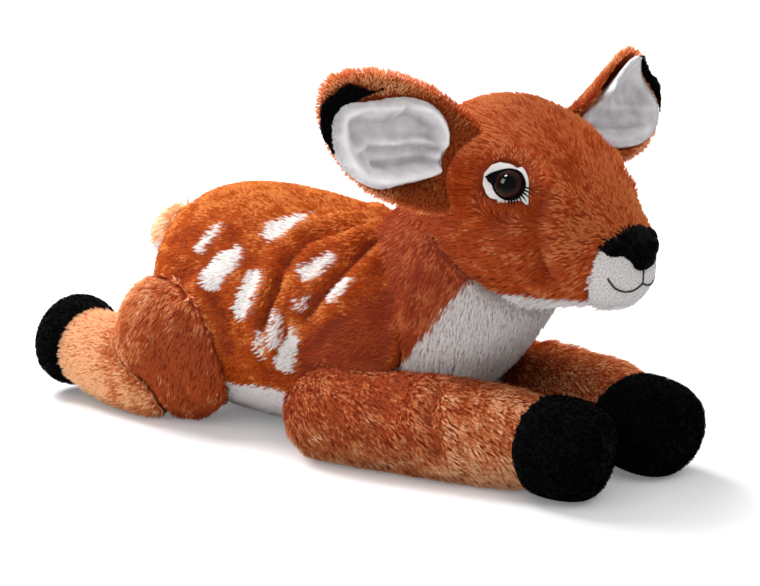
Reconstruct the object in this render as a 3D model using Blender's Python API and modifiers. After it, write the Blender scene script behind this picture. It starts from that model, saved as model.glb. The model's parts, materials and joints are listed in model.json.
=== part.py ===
"""Plush fawn lying on its belly: stuffed body, neck and head, four hinged legs, hinged ears and tail.

The fawn faces +X, its left side is +Y and it rests on the plane Z = 0. The origin is the middle of the
flat patch that the belly rests on. Sizes are written in millimetres and become metres in the meshes.
"""
import math

import bmesh
import bpy
from mathutils import Matrix, Vector
from mathutils.bvhtree import BVHTree

MM = 0.001

# Cloth and seams
SKIN = 3.0                      # pile fabric, backing and pile together
GAP = 0.4                       # between pieces that touch
SWEEP_GAP = 0.6                 # between a piece and the space that its neighbour turns through
FELT = 0.8                      # eye patches
PATCH_DEPTH = 2.5               # white felt under the pile's surface
LINER_DEPTH = 1.1               # black felt on the white one
PATCH_HALF = (17.0, 13.0)       # half sizes of the white felt
LINER_BORDER = 1.6              # black felt that shows round the eye
LINER_CORNER = 5.5              # how far its back corner is drawn out
LINER_TURN = 0.15               # radians that this corner is turned by
FLOOR_Z = 0.0
FAR = 260.0                     # cutters reach this far past the pieces
HALF_SPAN = 120.0               # and this far to each side

# Neck hinge: the neck's saddle turns on the drum-shaped front of the body
NECK_PIVOT = Vector((50.0, 0.0, 85.0))
DRUM_RADIUS = 62.0
NECK_UP = 14.0                  # degrees
NECK_DOWN = 5.0
NAPE_ANGLE = 66.0               # where the saddle starts, seen from the left, from +X towards +Z
THROAT_ANGLE = -25.0            # where it ends above the chest
SEAT_MARGIN = 1.0               # degrees of drum beyond the neck's travel

# Head turns on a plane across the top of the neck
HEAD_PIVOT = Vector((142.0, 0.0, 138.0))
HEAD_AXIS = Vector((0.66, 0.0, 0.75)).normalized()

# Legs
FRONT_PIVOT_X = 62.0
FRONT_PIVOT_Y = 60.0
LEFT_LEG_REACH = 14.0           # the left front leg lies further forward
FRONT_SPREAD = 30.0             # degrees outward
HIND_PIVOT = Vector((-62.0, 60.0, 49.0))
HIND_LIFT = 25.0                # degrees
TAIL_PIVOT = Vector((-98.0, 0.0, 112.0))
TAIL_UP = 30.0
TAIL_DOWN = 10.0

# Ears: root, direction of their length and direction that the hollow faces; Y is outward.
# The left ear stands further forward than the right one, with its upper half folded forward.
EARS = {
    "left": (Vector((152.0, 50.0, 192.0)), Vector((0.06, 0.90, 0.29)), Vector((0.85, 0.10, 0.50))),
    "right": (Vector((146.0, 50.0, 190.0)), Vector((-0.27, 0.83, 0.48)), Vector((0.93, 0.30, 0.0))),
}
EAR_ROLL = {"left": 64.0, "right": 10.0}    # degrees that the upper rim is turned forward by
EAR_LENGTH = 110.0
EAR_ROOT = 8.0                  # how far the ear starts inside the head's outline
EAR_LAYER = 2.6
LINING_REACH = (40.0, 30.5)     # half sizes of the white lining's oval
LINING_MIDDLE = (53.0, -2.0)    # its middle along the ear and above the ear's middle line
TIP_REACH = (50.0, 31.5)        # half sizes of the oval that the black tip fills
TIP_MIDDLE = (54.0, -4.5)
OVAL_TILT = 13.0                # degrees that both ovals dip towards the tip
TIP_UNROLL = 0.55               # how far the roll opens again towards the tip
TIP_START = 60.0                # along the ear, where the black starts at its upper edge
TIP_SLANT = 23.0                # degrees that its starting edge leans
EAR_FOLD = 20.0                 # degrees each way

# Eyes
EYE_SEAT = Vector((187.0, 0.0, 186.0))
EYE_RADIUS = 8.0
EYE_HEIGHT = 5.2
POST_RADIUS = 2.2
POST_LENGTH = 13.0
WASHER_RADIUS = 8.0
WASHER_THICK = 1.6
POCKET_ROOM = 1.0               # stuffing stays this far from the washer and the post's end
OPENING_REACH = 12.0            # how far the cutter of the felt's opening reaches in and out
EYE_LIFT = 0.5                  # rim of the eye above the black felt
EYE_RIM = 0.8                   # height of the rim under the dome
EYE_LOOK = Vector((1.0, 0.0, -0.25))    # which way an eye's front corner points

# Where one fabric meets the next
BELLY_SEAM_Z = 30.0
JAW_SEAM_Z = 114.0
BIB_NORMAL = Vector((0.78, 0.0, -0.62)).normalized()
BIB_OFFSET = 45.0
MUZZLE_CENTRE = Vector((258.0, 0.0, 117.0))
MUZZLE_RADIUS = 42.0
TAIL_SEAM = Vector((-112.0, 0.0, 111.0))
TAIL_SEAM_NORMAL = Vector((0.45, 0.0, -0.9)).normalized()

# Stations of the body and head: x, lowest z, highest z, half width
BODY = [
    (-115, 62, 104, 20), (-106, 34, 129, 46), (-84, 2, 148, 64), (-48, -2, 156, 73), (0, -2, 154, 73),
    (48, -2, 147, 70), (92, -2, 139, 66), (130, 8, 122, 56), (145, 24, 90, 32),
]
HEAD = [
    (94, 158, 196, 18), (104, 136, 213, 40), (126, 114, 228, 55), (152, 103, 234, 59), (182, 101, 229, 57),
    (210, 107, 208, 46), (231, 109, 180, 36), (244, 110, 160, 28), (251, 120, 147, 14),
]

# Stations of the neck and limbs: centre x, y, z, half width, half height; y is outward on a limb
NECK = [
    (46, 0, 62, 52, 54), (73, 0, 78, 62, 66), (97, 0, 92, 62, 66), (120, 0, 113, 59, 63),
    (142, 0, 139, 55, 58), (160, 0, 161, 50, 54),
]
FRONT_LEG = {
    "left": [
        (50, 64, 31, 18, 20), (58, 63, 31, 31, 31), (86, 61, 31, 33, 32), (130, 54, 30, 31, 31),
        (176, 47, 32, 31, 34), (212, 41, 33, 30, 35), (223, 40, 32, 23, 26),
    ],
    "right": [
        (38, 64, 31, 18, 20), (46, 63, 31, 32, 33), (72, 61, 33, 34, 35), (108, 55, 31, 31, 33),
        (152, 46, 31, 30, 34), (198, 38, 31, 29, 33), (209, 37, 30, 23, 25),
    ],
}
FRONT_HOOF = [
    (194, 39, 29, 26, 26), (200, 38, 30, 32, 31), (222, 35, 30, 34, 33), (241, 33, 29, 31, 30),
    (250, 31, 28, 20, 20),
]
THIGH = [
    (-63, 18, 58, 28, 34), (-63, 40, 56, 43, 51), (-64, 60, 51, 51, 55), (-64, 77, 46, 45, 48),
    (-63, 88, 43, 21, 23),
]
SHANK = [
    (-56, 64, 25, 22, 25), (-90, 62, 28, 29, 30), (-124, 57, 31, 30, 32), (-150, 54, 33, 29, 30),
    (-160, 53, 34, 23, 23),
]
HIND_HOOF = [
    (-149, 54, 33, 26, 26), (-154, 53, 34, 32, 32), (-167, 51, 36, 34, 34), (-178, 50, 38, 30, 31),
    (-184, 49, 39, 19, 20),
]
TAIL = [
    (-86, 0, 108, 12, 10), (-96, 0, 114, 16, 12), (-112, 0, 118, 17, 13), (-124, 0, 108, 16, 12),
    (-129, 0, 95, 12, 9),
]

NOSE = [
    (219, 0, 152, 16, 9), (228, 0, 152, 26, 13), (240, 0, 149, 26, 14), (249, 0, 146, 19, 12),
    (255, 0, 144, 8, 6),
]

# Outline of an ear: share of its length, half width, how far the rim curls forward
EAR_OUTLINE = [
    (0.0, 22, 12), (0.17, 30, 15), (0.38, 37, 13), (0.62, 38, 9), (0.84, 29, 5), (1.0, 11, 2),
]

SIDES = {"left": 1.0, "right": -1.0}


def clear_scene():
    for item in list(bpy.data.objects):
        bpy.data.objects.remove(item, do_unlink=True)


def collection(name):
    group = bpy.data.collections.new(name)
    bpy.context.scene.collection.children.link(group)
    return group


def material(name, colour, roughness):
    """One Principled finish; colour is linear."""
    made = bpy.data.materials.new(name)
    made.use_nodes = True
    shader = made.node_tree.nodes["Principled BSDF"]
    shader.inputs["Base Color"].default_value = (*colour, 1.0)
    shader.inputs["Roughness"].default_value = roughness
    shader.inputs["Metallic"].default_value = 0.0
    return made


RUST = ((0.40, 0.105, 0.026), 0.9)
SPOTTED = ((0.50, 0.150, 0.030), 0.9)
PEACH = ((0.60, 0.255, 0.105), 0.9)
WHITE = ((0.80, 0.78, 0.76), 0.9)
BLACK = ((0.012, 0.012, 0.014), 0.85)
FIBRE = ((0.72, 0.72, 0.70), 1.0)
GLOSS_BROWN = ((0.035, 0.012, 0.006), 0.08)
CLEAR_PLASTIC = ((0.70, 0.70, 0.68), 0.4)


def new_object(name, mesh, group):
    made = bpy.data.objects.new(name, mesh)
    group.objects.link(made)
    return made


def ring(centre, along, half_width, half_height, sides):
    """Corners of a cage ring, pushed out so that the smoothed ring has the half sizes given."""
    along = along.normalized()
    across = Vector((0.0, 0.0, 1.0)).cross(along).normalized()
    upward = along.cross(across)
    swell = 1.0 / (0.75 + 0.25 * math.cos(2.0 * math.pi / sides))
    points = []
    for i in range(sides):
        turn = 2.0 * math.pi * i / sides
        points.append(centre + across * (math.cos(turn) * half_width * swell)
                      + upward * (math.sin(turn) * half_height * swell))
    return points


def cage_mesh(name, rings):
    """Closed cage: quads between the rings and one face at each end."""
    shape = bmesh.new()
    rows = [[shape.verts.new(point * MM) for point in row] for row in rings]
    sides = len(rows[0])
    for near, far in zip(rows[:-1], rows[1:]):
        for i in range(sides):
            j = (i + 1) % sides
            shape.faces.new((near[i], near[j], far[j], far[i]))
    shape.faces.new(rows[0])
    shape.faces.new(rows[-1])
    bmesh.ops.recalc_face_normals(shape, faces=shape.faces)
    mesh = bpy.data.meshes.new(name)
    shape.to_mesh(mesh)
    shape.free()
    mesh.shade_smooth()
    return mesh


def trunk_cage(name, stations, sides):
    """Cage of the body or head, from upright rings along X."""
    rings = []
    for x, low, high, half_width in stations:
        centre = Vector((x, 0.0, (low + high) / 2.0))
        rings.append(ring(centre, Vector((1.0, 0.0, 0.0)), half_width, (high - low) / 2.0, sides))
    return cage_mesh(name, rings)


def limb_cage(name, stations, sides, side=1.0, reach=0.0):
    """Cage of a limb or the neck: rings square to the line through the stations."""
    centres = [Vector((x + reach, y * side, z)) for x, y, z, _, _ in stations]
    rings = []
    for i, (_, _, _, half_width, half_height) in enumerate(stations):
        along = centres[min(i + 1, len(centres) - 1)] - centres[max(i - 1, 0)]
        rings.append(ring(centres[i], along, half_width, half_height, sides))
    return cage_mesh(name, rings)


def prism_mesh(name, outline, half_depth):
    """Solid with an outline in the XZ plane, from -half_depth to +half_depth in Y."""
    shape = bmesh.new()
    near = [shape.verts.new(Vector((x, -half_depth, z)) * MM) for x, z in outline]
    far = [shape.verts.new(Vector((x, half_depth, z)) * MM) for x, z in outline]
    count = len(outline)
    for i in range(count):
        j = (i + 1) % count
        shape.faces.new((near[i], near[j], far[j], far[i]))
    shape.faces.new(near)
    shape.faces.new(far)
    bmesh.ops.recalc_face_normals(shape, faces=shape.faces)
    mesh = bpy.data.meshes.new(name)
    shape.to_mesh(mesh)
    shape.free()
    return mesh


def polar(radius, degrees):
    """A point of the XZ plane about the neck hinge."""
    turn = math.radians(degrees)
    return (NECK_PIVOT.x + radius * math.cos(turn), NECK_PIVOT.z + radius * math.sin(turn))


def arc(radius, start, end, step=6.0):
    count = max(2, round(abs(end - start) / step))
    return [polar(radius, start + (end - start) * i / count) for i in range(count + 1)]


def box_mesh(name, size):
    shape = bmesh.new()
    bmesh.ops.create_cube(shape, size=size * MM)
    mesh = bpy.data.meshes.new(name)
    shape.to_mesh(mesh)
    shape.free()
    return mesh


def half_space(name, point, normal, group):
    """Large cube that fills the side of a plane that its normal points to."""
    size = FAR * 2.7
    made = new_object(name, box_mesh(name, size), group)
    facing = normal.to_track_quat("Z", "Y").to_matrix().to_4x4()
    made.matrix_world = Matrix.Translation((point + normal * (size / 2.0)) * MM) @ facing
    return made


def as_cutter(item):
    item.hide_render = True
    item.display_type = "WIRE"
    return item


def smooth(item):
    """Round the cage; fixed diagonals keep a form and its larger or smaller copy parallel."""
    rounded = item.modifiers.new("smooth", "SUBSURF")
    rounded.levels = 1
    rounded.render_levels = 1
    split = item.modifiers.new("facets", "TRIANGULATE")
    split.quad_method = "FIXED"


def swell(item, amount):
    """Move the surface out by an amount in millimetres, or in if it is negative."""
    moved = item.modifiers.new("swell", "DISPLACE")
    moved.direction = "NORMAL"
    moved.mid_level = 0.0
    moved.strength = amount * MM


def cut(item, cutter, operation="DIFFERENCE"):
    step = item.modifiers.new(cutter.name[:40], "BOOLEAN")
    step.operation = operation
    step.solver = "EXACT"
    step.object = cutter


def baked(name, item):
    """Plain mesh of an object as its modifiers leave it, in world space."""
    bpy.context.view_layer.update()
    graph = bpy.context.evaluated_depsgraph_get()
    mesh = bpy.data.meshes.new_from_object(item.evaluated_get(graph))
    mesh.name = name
    mesh.transform(item.matrix_world)
    return mesh


def turned_copies(name, mesh, pivot, axis, angles, group):
    """Cutters: the mesh turned about a joint's axis to each angle that it is passed at."""
    copies = []
    for angle in angles:
        made = new_object(f"{name}_{angle:.0f}", mesh, group)
        shift = Matrix.Translation(pivot * MM)
        made.matrix_world = shift @ Matrix.Rotation(math.radians(angle), 4, axis) @ shift.inverted()
        copies.append(as_cutter(made))
    return copies


def hang(item, pivot):
    """Parent a piece to the empty on its joint's axis, where it lies."""
    item.parent = pivot
    item.matrix_parent_inverse = pivot.matrix_world.inverted()


class Fawn:
    """Builds every piece of the toy."""

    def __init__(self):
        self.parts = collection("plush_fawn")
        self.tools = collection("cutters")
        self.pivots = {}
        self.ear_axes = {}

    def pivot(self, name, point):
        empty = bpy.data.objects.new(name + "_pivot", None)
        self.parts.objects.link(empty)
        empty.location = point * MM
        self.pivots[name] = empty
        bpy.context.view_layer.update()

    def piece(self, name, mesh, finish, pivot=None):
        made = new_object(name, mesh, self.parts)
        made.data.materials.append(material(name + "_finish", *finish))
        if pivot:
            hang(made, self.pivots[pivot])
        return made

    def tool(self, name, mesh):
        return as_cutter(new_object(name, mesh, self.tools))

    def space(self, name, point, normal):
        return as_cutter(half_space(name, point, normal, self.tools))

    def grown(self, name, mesh, amount, trims):
        """Cutter that is a form made larger or smaller, then trimmed like the form."""
        made = self.tool(name + "_source", mesh)
        smooth(made)
        if amount:
            swell(made, amount)
        for trim in trims:
            cut(made, trim)
        return self.tool(name, baked(name, made))

    def build_shared_cutters(self):
        up = Vector((0.0, 0.0, 1.0))
        self.floor = self.space("floor", Vector((0.0, 0.0, FLOOR_Z)), -up)
        self.body_front = self.drum_front("body_front", DRUM_RADIUS, SEAT_MARGIN)
        self.body_front_room = self.drum_front("body_front_room", DRUM_RADIUS + 2.0 * GAP, 0.0)
        bed = arc(DRUM_RADIUS + GAP, THROAT_ANGLE, NAPE_ANGLE)
        behind = (150.0, 240.0)
        bed += [polar(FAR, angle) for angle in (NAPE_ANGLE, *behind, THROAT_ANGLE)]
        self.neck_bed = self.tool("neck_bed", prism_mesh("neck_bed", bed, HALF_SPAN))
        half_gap = HEAD_AXIS * (GAP / 2.0)
        self.above_neck = self.space("above_neck", HEAD_PIVOT - half_gap, HEAD_AXIS)
        self.below_head = self.space("below_head", HEAD_PIVOT + half_gap, -HEAD_AXIS)

    def drum_front(self, name, radius, margin):
        """Cutter for what lies in front of a drum of this radius, some degrees past the neck's travel."""
        low = THROAT_ANGLE - NECK_DOWN - margin
        high = NAPE_ANGLE + NECK_UP + margin
        outline = arc(radius, low, high)
        outline += [polar(FAR, high), polar(FAR * 1.4, (low + high) / 2.0), polar(FAR, low)]
        return self.tool(name, prism_mesh(name, outline, HALF_SPAN))

    def skin(self, name, mesh, finish, inner, trims, pivot=None, holes=()):
        """Fabric panel: the outer form less the same form moved in by the fabric's thickness."""
        made = self.piece(name, mesh.copy(), finish, pivot)
        smooth(made)
        for hole in holes:
            cut(made, hole)
        cut(made, inner)
        for trim, operation in trims:
            cut(made, trim, operation)
        return made

    def filling(self, name, mesh, trims, pivot=None):
        """Stuffing: the form moved in by the fabric's thickness and a gap."""
        made = self.piece(name, mesh.copy(), FIBRE, pivot)
        smooth(made)
        swell(made, -(SKIN + GAP))
        for trim in trims:
            cut(made, trim)
        return made

    def build_body(self):
        mesh = trunk_cage("body_form", BODY, 12)
        inner = self.grown("body_inner", mesh, -SKIN, [])
        seam = Vector((0.0, 0.0, BELLY_SEAM_Z))
        up = Vector((0.0, 0.0, 1.0))
        below = self.space("below_belly_seam", seam + up * (GAP / 2.0), -up)
        chest = self.space("chest_side", BIB_NORMAL * (BIB_OFFSET - GAP / 2.0), BIB_NORMAL)
        corner_x = (BIB_OFFSET - BIB_NORMAL.z * BELLY_SEAM_Z) / BIB_NORMAL.x
        far_x = (BIB_OFFSET - BIB_NORMAL.z * FAR) / BIB_NORMAL.x
        low = BELLY_SEAM_Z - GAP / 2.0
        outline = [(corner_x + GAP, low), (far_x + GAP, FAR), (-FAR, FAR), (-FAR, low)]
        back_region = self.tool("back_region", prism_mesh("back_region", outline, HALF_SPAN))
        difference = "DIFFERENCE"
        self.skin("back_panel", mesh, SPOTTED, inner,
                  [(self.body_front, difference), (below, difference), (chest, difference)])
        self.skin("belly_panel", mesh, WHITE, inner,
                  [(self.body_front, difference), (back_region, difference), (self.floor, difference)])
        self.filling("body_stuffing", mesh, [self.body_front])
        self.body_mesh = self.grown("body_clearance", mesh, SWEEP_GAP, [self.body_front_room])

    def build_neck(self):
        mesh = limb_cage("neck_form", NECK, 12)
        inner = self.grown("neck_inner", mesh, -SKIN, [])
        seam = BIB_NORMAL * BIB_OFFSET
        front = self.space("bib_side", seam - BIB_NORMAL * (GAP / 2.0), BIB_NORMAL)
        back = self.space("neck_side", seam + BIB_NORMAL * (GAP / 2.0), -BIB_NORMAL)
        difference = "DIFFERENCE"
        ends = [(self.neck_bed, difference), (self.above_neck, difference)]
        self.skin("neck_panel", mesh, RUST, inner, ends + [(front, difference)], "neck")
        self.skin("bib_panel", mesh, WHITE, inner, ends + [(back, difference)], "neck")
        self.filling("neck_stuffing", mesh, [self.neck_bed, self.above_neck], "neck")
        self.neck_mesh = self.grown("neck_clearance", mesh, SWEEP_GAP, [self.neck_bed, self.above_neck])

    def build_head(self):
        mesh = trunk_cage("head_form", HEAD, 12)
        inner = self.grown("head_inner", mesh, -SKIN, [])
        up = Vector((0.0, 0.0, 1.0))
        seam = Vector((0.0, 0.0, JAW_SEAM_Z))
        under = self.space("under_jaw_seam", seam + up * (GAP / 2.0), -up)
        over = self.space("over_jaw_seam", seam - up * (GAP / 2.0), up)
        ball = bmesh.new()
        bmesh.ops.create_uvsphere(ball, u_segments=24, v_segments=12, radius=MUZZLE_RADIUS * MM)
        ball_mesh = bpy.data.meshes.new("muzzle_region")
        ball.to_mesh(ball_mesh)
        ball.free()
        region = self.tool("muzzle_region", ball_mesh)
        region.location = MUZZLE_CENTRE * MM
        rim = self.tool("muzzle_rim", ball_mesh)
        rim.location = MUZZLE_CENTRE * MM
        rim.scale = [(MUZZLE_RADIUS + GAP) / MUZZLE_RADIUS] * 3
        difference = "DIFFERENCE"
        base = [(self.below_head, difference)]
        holes = self.build_eyes(mesh)
        self.skin("head_panel", mesh, RUST, inner,
                  base + [(rim, difference), (under, difference)], "head", holes)
        self.skin("jaw_panel", mesh, WHITE, inner,
                  base + [(over, difference), (rim, difference)], "head")
        self.skin("muzzle_panel", mesh, WHITE, inner, [(region, "INTERSECT")], "head")
        stuffing = self.filling("head_stuffing", mesh, [self.below_head], "head")
        for pocket in self.washer_pockets:
            cut(stuffing, pocket)
        self.head_mesh = self.grown("head_clearance", mesh, SWEEP_GAP, [self.below_head])
        self.build_nose()

    def seat(self, surface, side):
        """Frame of an eye: its point on the head and the direction that it looks in."""
        origin = Vector((EYE_SEAT.x, 200.0 * side, EYE_SEAT.z)) * MM
        point, normal, _, _ = surface.ray_cast(origin, Vector((0.0, -side, 0.0)))
        forward = (EYE_LOOK - normal * normal.dot(EYE_LOOK)).normalized()
        upward = normal.cross(forward)
        frame = Matrix((forward, upward, normal)).transposed().to_4x4()
        frame.translation = point
        return frame

    def build_eyes(self, head_mesh):
        """Eyes, felt and washers; returns the cutters of the holes that the posts pass through."""
        form = self.tool("head_surface", head_mesh)
        smooth(form)
        bpy.context.view_layer.update()
        graph = bpy.context.evaluated_depsgraph_get()
        surface = BVHTree.FromObject(form, graph)
        holes = []
        self.washer_pockets = []
        for name, side in SIDES.items():
            frame = self.seat(surface, side)
            self.felt(f"eye_patch_{name}", frame, form, WHITE, -PATCH_DEPTH, self.patch_radius, side)
            self.felt(f"eye_liner_{name}", frame, form, BLACK, -LINER_DEPTH, self.liner_radius, side)
            eye = self.piece(f"eye_{name}", eye_mesh(), GLOSS_BROWN)
            turn(eye, 16)
            eye.matrix_world = frame
            hang(eye, self.pivots["head"])
            washer = self.piece(f"eye_washer_{name}", washer_mesh(), CLEAR_PLASTIC)
            turn(washer, 12)
            washer.matrix_world = frame
            hang(washer, self.pivots["head"])
            holes.append(self.opening(f"eye_opening_{name}", frame, side))
            self.washer_pockets.append(self.washer_pocket(f"washer_pocket_{name}", frame))
        return holes

    def opening(self, name, frame, side):
        """Cutter of the hole in the pile fabric that shows the white felt."""
        around = 24
        shape = bmesh.new()
        rims = []
        for height in (-OPENING_REACH, OPENING_REACH):
            rim = []
            for i in range(around):
                turned = 2.0 * math.pi * i / around
                radius = self.patch_radius(turned * side) + GAP
                point = Vector((math.cos(turned) * radius, math.sin(turned) * radius, height))
                rim.append(shape.verts.new(point * MM))
            rims.append(rim)
        for i in range(around):
            j = (i + 1) % around
            shape.faces.new((rims[0][i], rims[0][j], rims[1][j], rims[1][i]))
        shape.faces.new(rims[0])
        shape.faces.new(rims[1])
        bmesh.ops.recalc_face_normals(shape, faces=shape.faces)
        mesh = bpy.data.meshes.new(name)
        shape.to_mesh(mesh)
        shape.free()
        made = self.tool(name, mesh)
        made.matrix_world = frame
        return made

    def washer_pocket(self, name, frame):
        """Round cutter of the room that the stuffing leaves for an eye's post and washer."""
        radius = (WASHER_RADIUS + POCKET_ROOM) * MM
        low = -(POST_LENGTH + POCKET_ROOM)
        high = EYE_RADIUS
        shape = bmesh.new()
        bmesh.ops.create_cone(shape, cap_ends=True, segments=20, radius1=radius, radius2=radius,
                              depth=(high - low) * MM)
        bmesh.ops.translate(shape, verts=shape.verts, vec=(0.0, 0.0, (high + low) / 2.0 * MM))
        mesh = bpy.data.meshes.new(name)
        shape.to_mesh(mesh)
        shape.free()
        made = self.tool(name, mesh)
        made.matrix_world = frame
        return made

    @staticmethod
    def patch_radius(turned):
        """White felt: an oval, longer towards the front and back corners."""
        long_side, short_side = PATCH_HALF
        stretch = math.hypot(short_side * math.cos(turned), long_side * math.sin(turned))
        return long_side * short_side / stretch

    @staticmethod
    def liner_radius(turned):
        """Black surround of the eye, drawn out to a point at the back corner."""
        behind = max(0.0, -math.cos(turned - LINER_TURN))
        return EYE_RADIUS + LINER_BORDER + LINER_CORNER * behind ** 10

    def felt(self, name, frame, target, finish, lift, radius_at, side):
        """Ring of felt round the eye's post that follows the head."""
        around = 16
        rows = 3
        inner = POST_RADIUS + 0.6
        shape = bmesh.new()
        grid = []
        for row in range(rows):
            share = row / (rows - 1)
            line = []
            for i in range(around):
                turned = 2.0 * math.pi * i / around
                radius = inner + (radius_at(turned * side) - inner) * share
                corner = Vector((math.cos(turned) * radius, math.sin(turned) * radius, OPENING_REACH))
                line.append(shape.verts.new(corner * MM))
            grid.append(line)
        for near, far in zip(grid[:-1], grid[1:]):
            for i in range(around):
                j = (i + 1) % around
                shape.faces.new((near[i], far[i], far[j], near[j]))
        mesh = bpy.data.meshes.new(name)
        shape.to_mesh(mesh)
        shape.free()
        made = self.piece(name, mesh, finish)
        made.matrix_world = frame
        hang(made, self.pivots["head"])
        wrap = made.modifiers.new("follow_head", "SHRINKWRAP")
        wrap.wrap_method = "PROJECT"
        wrap.use_project_z = True
        wrap.use_negative_direction = True
        wrap.use_positive_direction = False
        wrap.target = target
        wrap.offset = lift * MM
        sheet = made.modifiers.new("felt", "SOLIDIFY")
        sheet.thickness = FELT * MM
        sheet.offset = 1.0
        sheet.use_even_offset = True

    def build_nose(self):
        """Black velvet nose, wide above and narrow below, seated on the head."""
        nose = self.piece("nose", limb_cage("nose", NOSE, 8), BLACK, "head")
        smooth(nose)
        cut(nose, self.head_mesh)

    def build_ears(self):
        for name, side in SIDES.items():
            mirror = Vector((1.0, side, 1.0))
            base, along, face = [vector * mirror for vector in EARS[name]]
            along = along.normalized()
            face = (face - along * face.dot(along)).normalized()
            width = along.cross(face)
            joint = f"ear_{name}"
            self.pivot(joint, base)
            heads = turned_copies(f"head_past_{joint}", self.head_mesh.data, base, width,
                                  (-EAR_FOLD, 0.0, EAR_FOLD), self.tools)
            self.ear_axes[name] = width
            front_lift = EAR_LAYER + GAP
            upper = width * -side
            frame = (base, along, upper, face)
            roll = math.radians(EAR_ROLL[name])
            back = self.ear_layer(f"ear_back_{name}", frame, roll, 0.0, RUST, joint)
            lining = self.ear_layer(f"ear_lining_{name}", frame, roll, front_lift, WHITE, joint)
            tip = self.ear_layer(f"ear_tip_{name}", frame, roll, front_lift, BLACK, joint)
            region = self.oval_rod(f"lining_region_{name}", frame, LINING_MIDDLE, LINING_REACH)
            outer = [reach + GAP for reach in LINING_REACH]
            rim = self.oval_rod(f"lining_rim_{name}", frame, LINING_MIDDLE, outer)
            border = self.oval_rod(f"tip_region_{name}", frame, TIP_MIDDLE, TIP_REACH)
            slant = math.radians(TIP_SLANT)
            rootward = -along * math.cos(slant) - upper * math.sin(slant)
            start = base + along * TIP_START + upper * LINING_REACH[1]
            root = self.space(f"ear_root_{name}", start, rootward)
            cut(lining, region, "INTERSECT")
            cut(tip, border, "INTERSECT")
            cut(tip, rim)
            cut(tip, root)
            for head in heads:
                cut(back, head)
                cut(lining, head)

    def oval_rod(self, name, frame, middle, reach):
        """Oval cutter that passes through the ear from front to back."""
        base, along, upper, face = frame
        shape = bmesh.new()
        bmesh.ops.create_cone(shape, cap_ends=True, segments=32, radius1=MM, radius2=MM,
                              depth=HALF_SPAN * MM)
        mesh = bpy.data.meshes.new(name)
        shape.to_mesh(mesh)
        shape.free()
        made = self.tool(name, mesh)
        tilt = math.radians(OVAL_TILT)
        length_way = along * math.cos(tilt) - upper * math.sin(tilt)
        width_way = face.cross(length_way)
        place = Matrix((length_way * reach[0], width_way * reach[1], face)).transposed().to_4x4()
        place.translation = (base + along * middle[0] + upper * middle[1]) * MM
        made.matrix_world = place
        return made

    def ear_layer(self, name, frame, roll, lift, finish, joint):
        """One cupped layer of an ear as an open sheet with thickness."""
        base, along, upper, face = frame
        shape = bmesh.new()
        columns = 5
        rows = []
        for t, half_width, curl in EAR_OUTLINE:
            line = []
            reach = EAR_LENGTH * t - EAR_ROOT
            for i in range(columns):
                v = -1.0 + 2.0 * i / (columns - 1)
                turn_up = max(v, 0.0) * roll * (1.0 - TIP_UNROLL * t)
                aside = v * half_width * math.cos(turn_up)
                ahead = v * half_width * math.sin(turn_up) + curl * v ** 2
                line.append(shape.verts.new((base + along * reach + upper * aside + face * ahead) * MM))
            rows.append(line)
        for near, far in zip(rows[:-1], rows[1:]):
            for i in range(columns - 1):
                shape.faces.new((near[i], near[i + 1], far[i + 1], far[i]))
        for side_face in shape.faces:
            side_face.normal_update()
            if side_face.normal.dot(face) < 0.0:
                side_face.normal_flip()
        mesh = bpy.data.meshes.new(name)
        shape.to_mesh(mesh)
        shape.free()
        mesh.shade_smooth()
        made = self.piece(name, mesh, finish, joint)
        smooth(made)
        if lift:
            swell(made, lift)
        sheet = made.modifiers.new("fabric", "SOLIDIFY")
        sheet.thickness = EAR_LAYER * MM
        sheet.offset = 1.0
        sheet.use_even_offset = True
        return made

    def build_front_legs(self):
        for name, side in SIDES.items():
            reach = LEFT_LEG_REACH if name == "left" else 0.0
            point = Vector((FRONT_PIVOT_X + reach, FRONT_PIVOT_Y * side, 0.0))
            joint = f"front_leg_{name}"
            self.pivot(joint, point)
            up = Vector((0.0, 0.0, 1.0))
            spread = [-side * FRONT_SPREAD * share for share in (0.0, 0.25, 0.5, 0.75, 1.0)]
            bodies = turned_copies(f"body_past_{joint}", self.body_mesh.data, point, up, spread, self.tools)
            bodies += turned_copies(f"neck_past_{joint}", self.neck_mesh.data, point, up, spread, self.tools)
            nods = turned_copies(f"nodding_past_{joint}", self.neck_mesh.data, NECK_PIVOT,
                                 Vector((0.0, 1.0, 0.0)), (NECK_DOWN / 2.0, NECK_DOWN), self.tools)
            mesh = limb_cage(f"front_leg_form_{name}", FRONT_LEG[name], 10, side)
            leg = self.piece(f"front_leg_{name}", mesh.copy(), RUST, joint)
            smooth(leg)
            for tool in [self.floor] + bodies + nods:
                cut(leg, tool)
            sleeve = self.grown(f"front_sleeve_{name}", mesh, GAP, [])
            hoof_mesh = limb_cage(f"front_hoof_form_{name}", FRONT_HOOF, 10, side, reach)
            hoof = self.piece(f"front_hoof_{name}", hoof_mesh, BLACK, joint)
            smooth(hoof)
            cut(hoof, sleeve)
            cut(hoof, self.floor)

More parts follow.
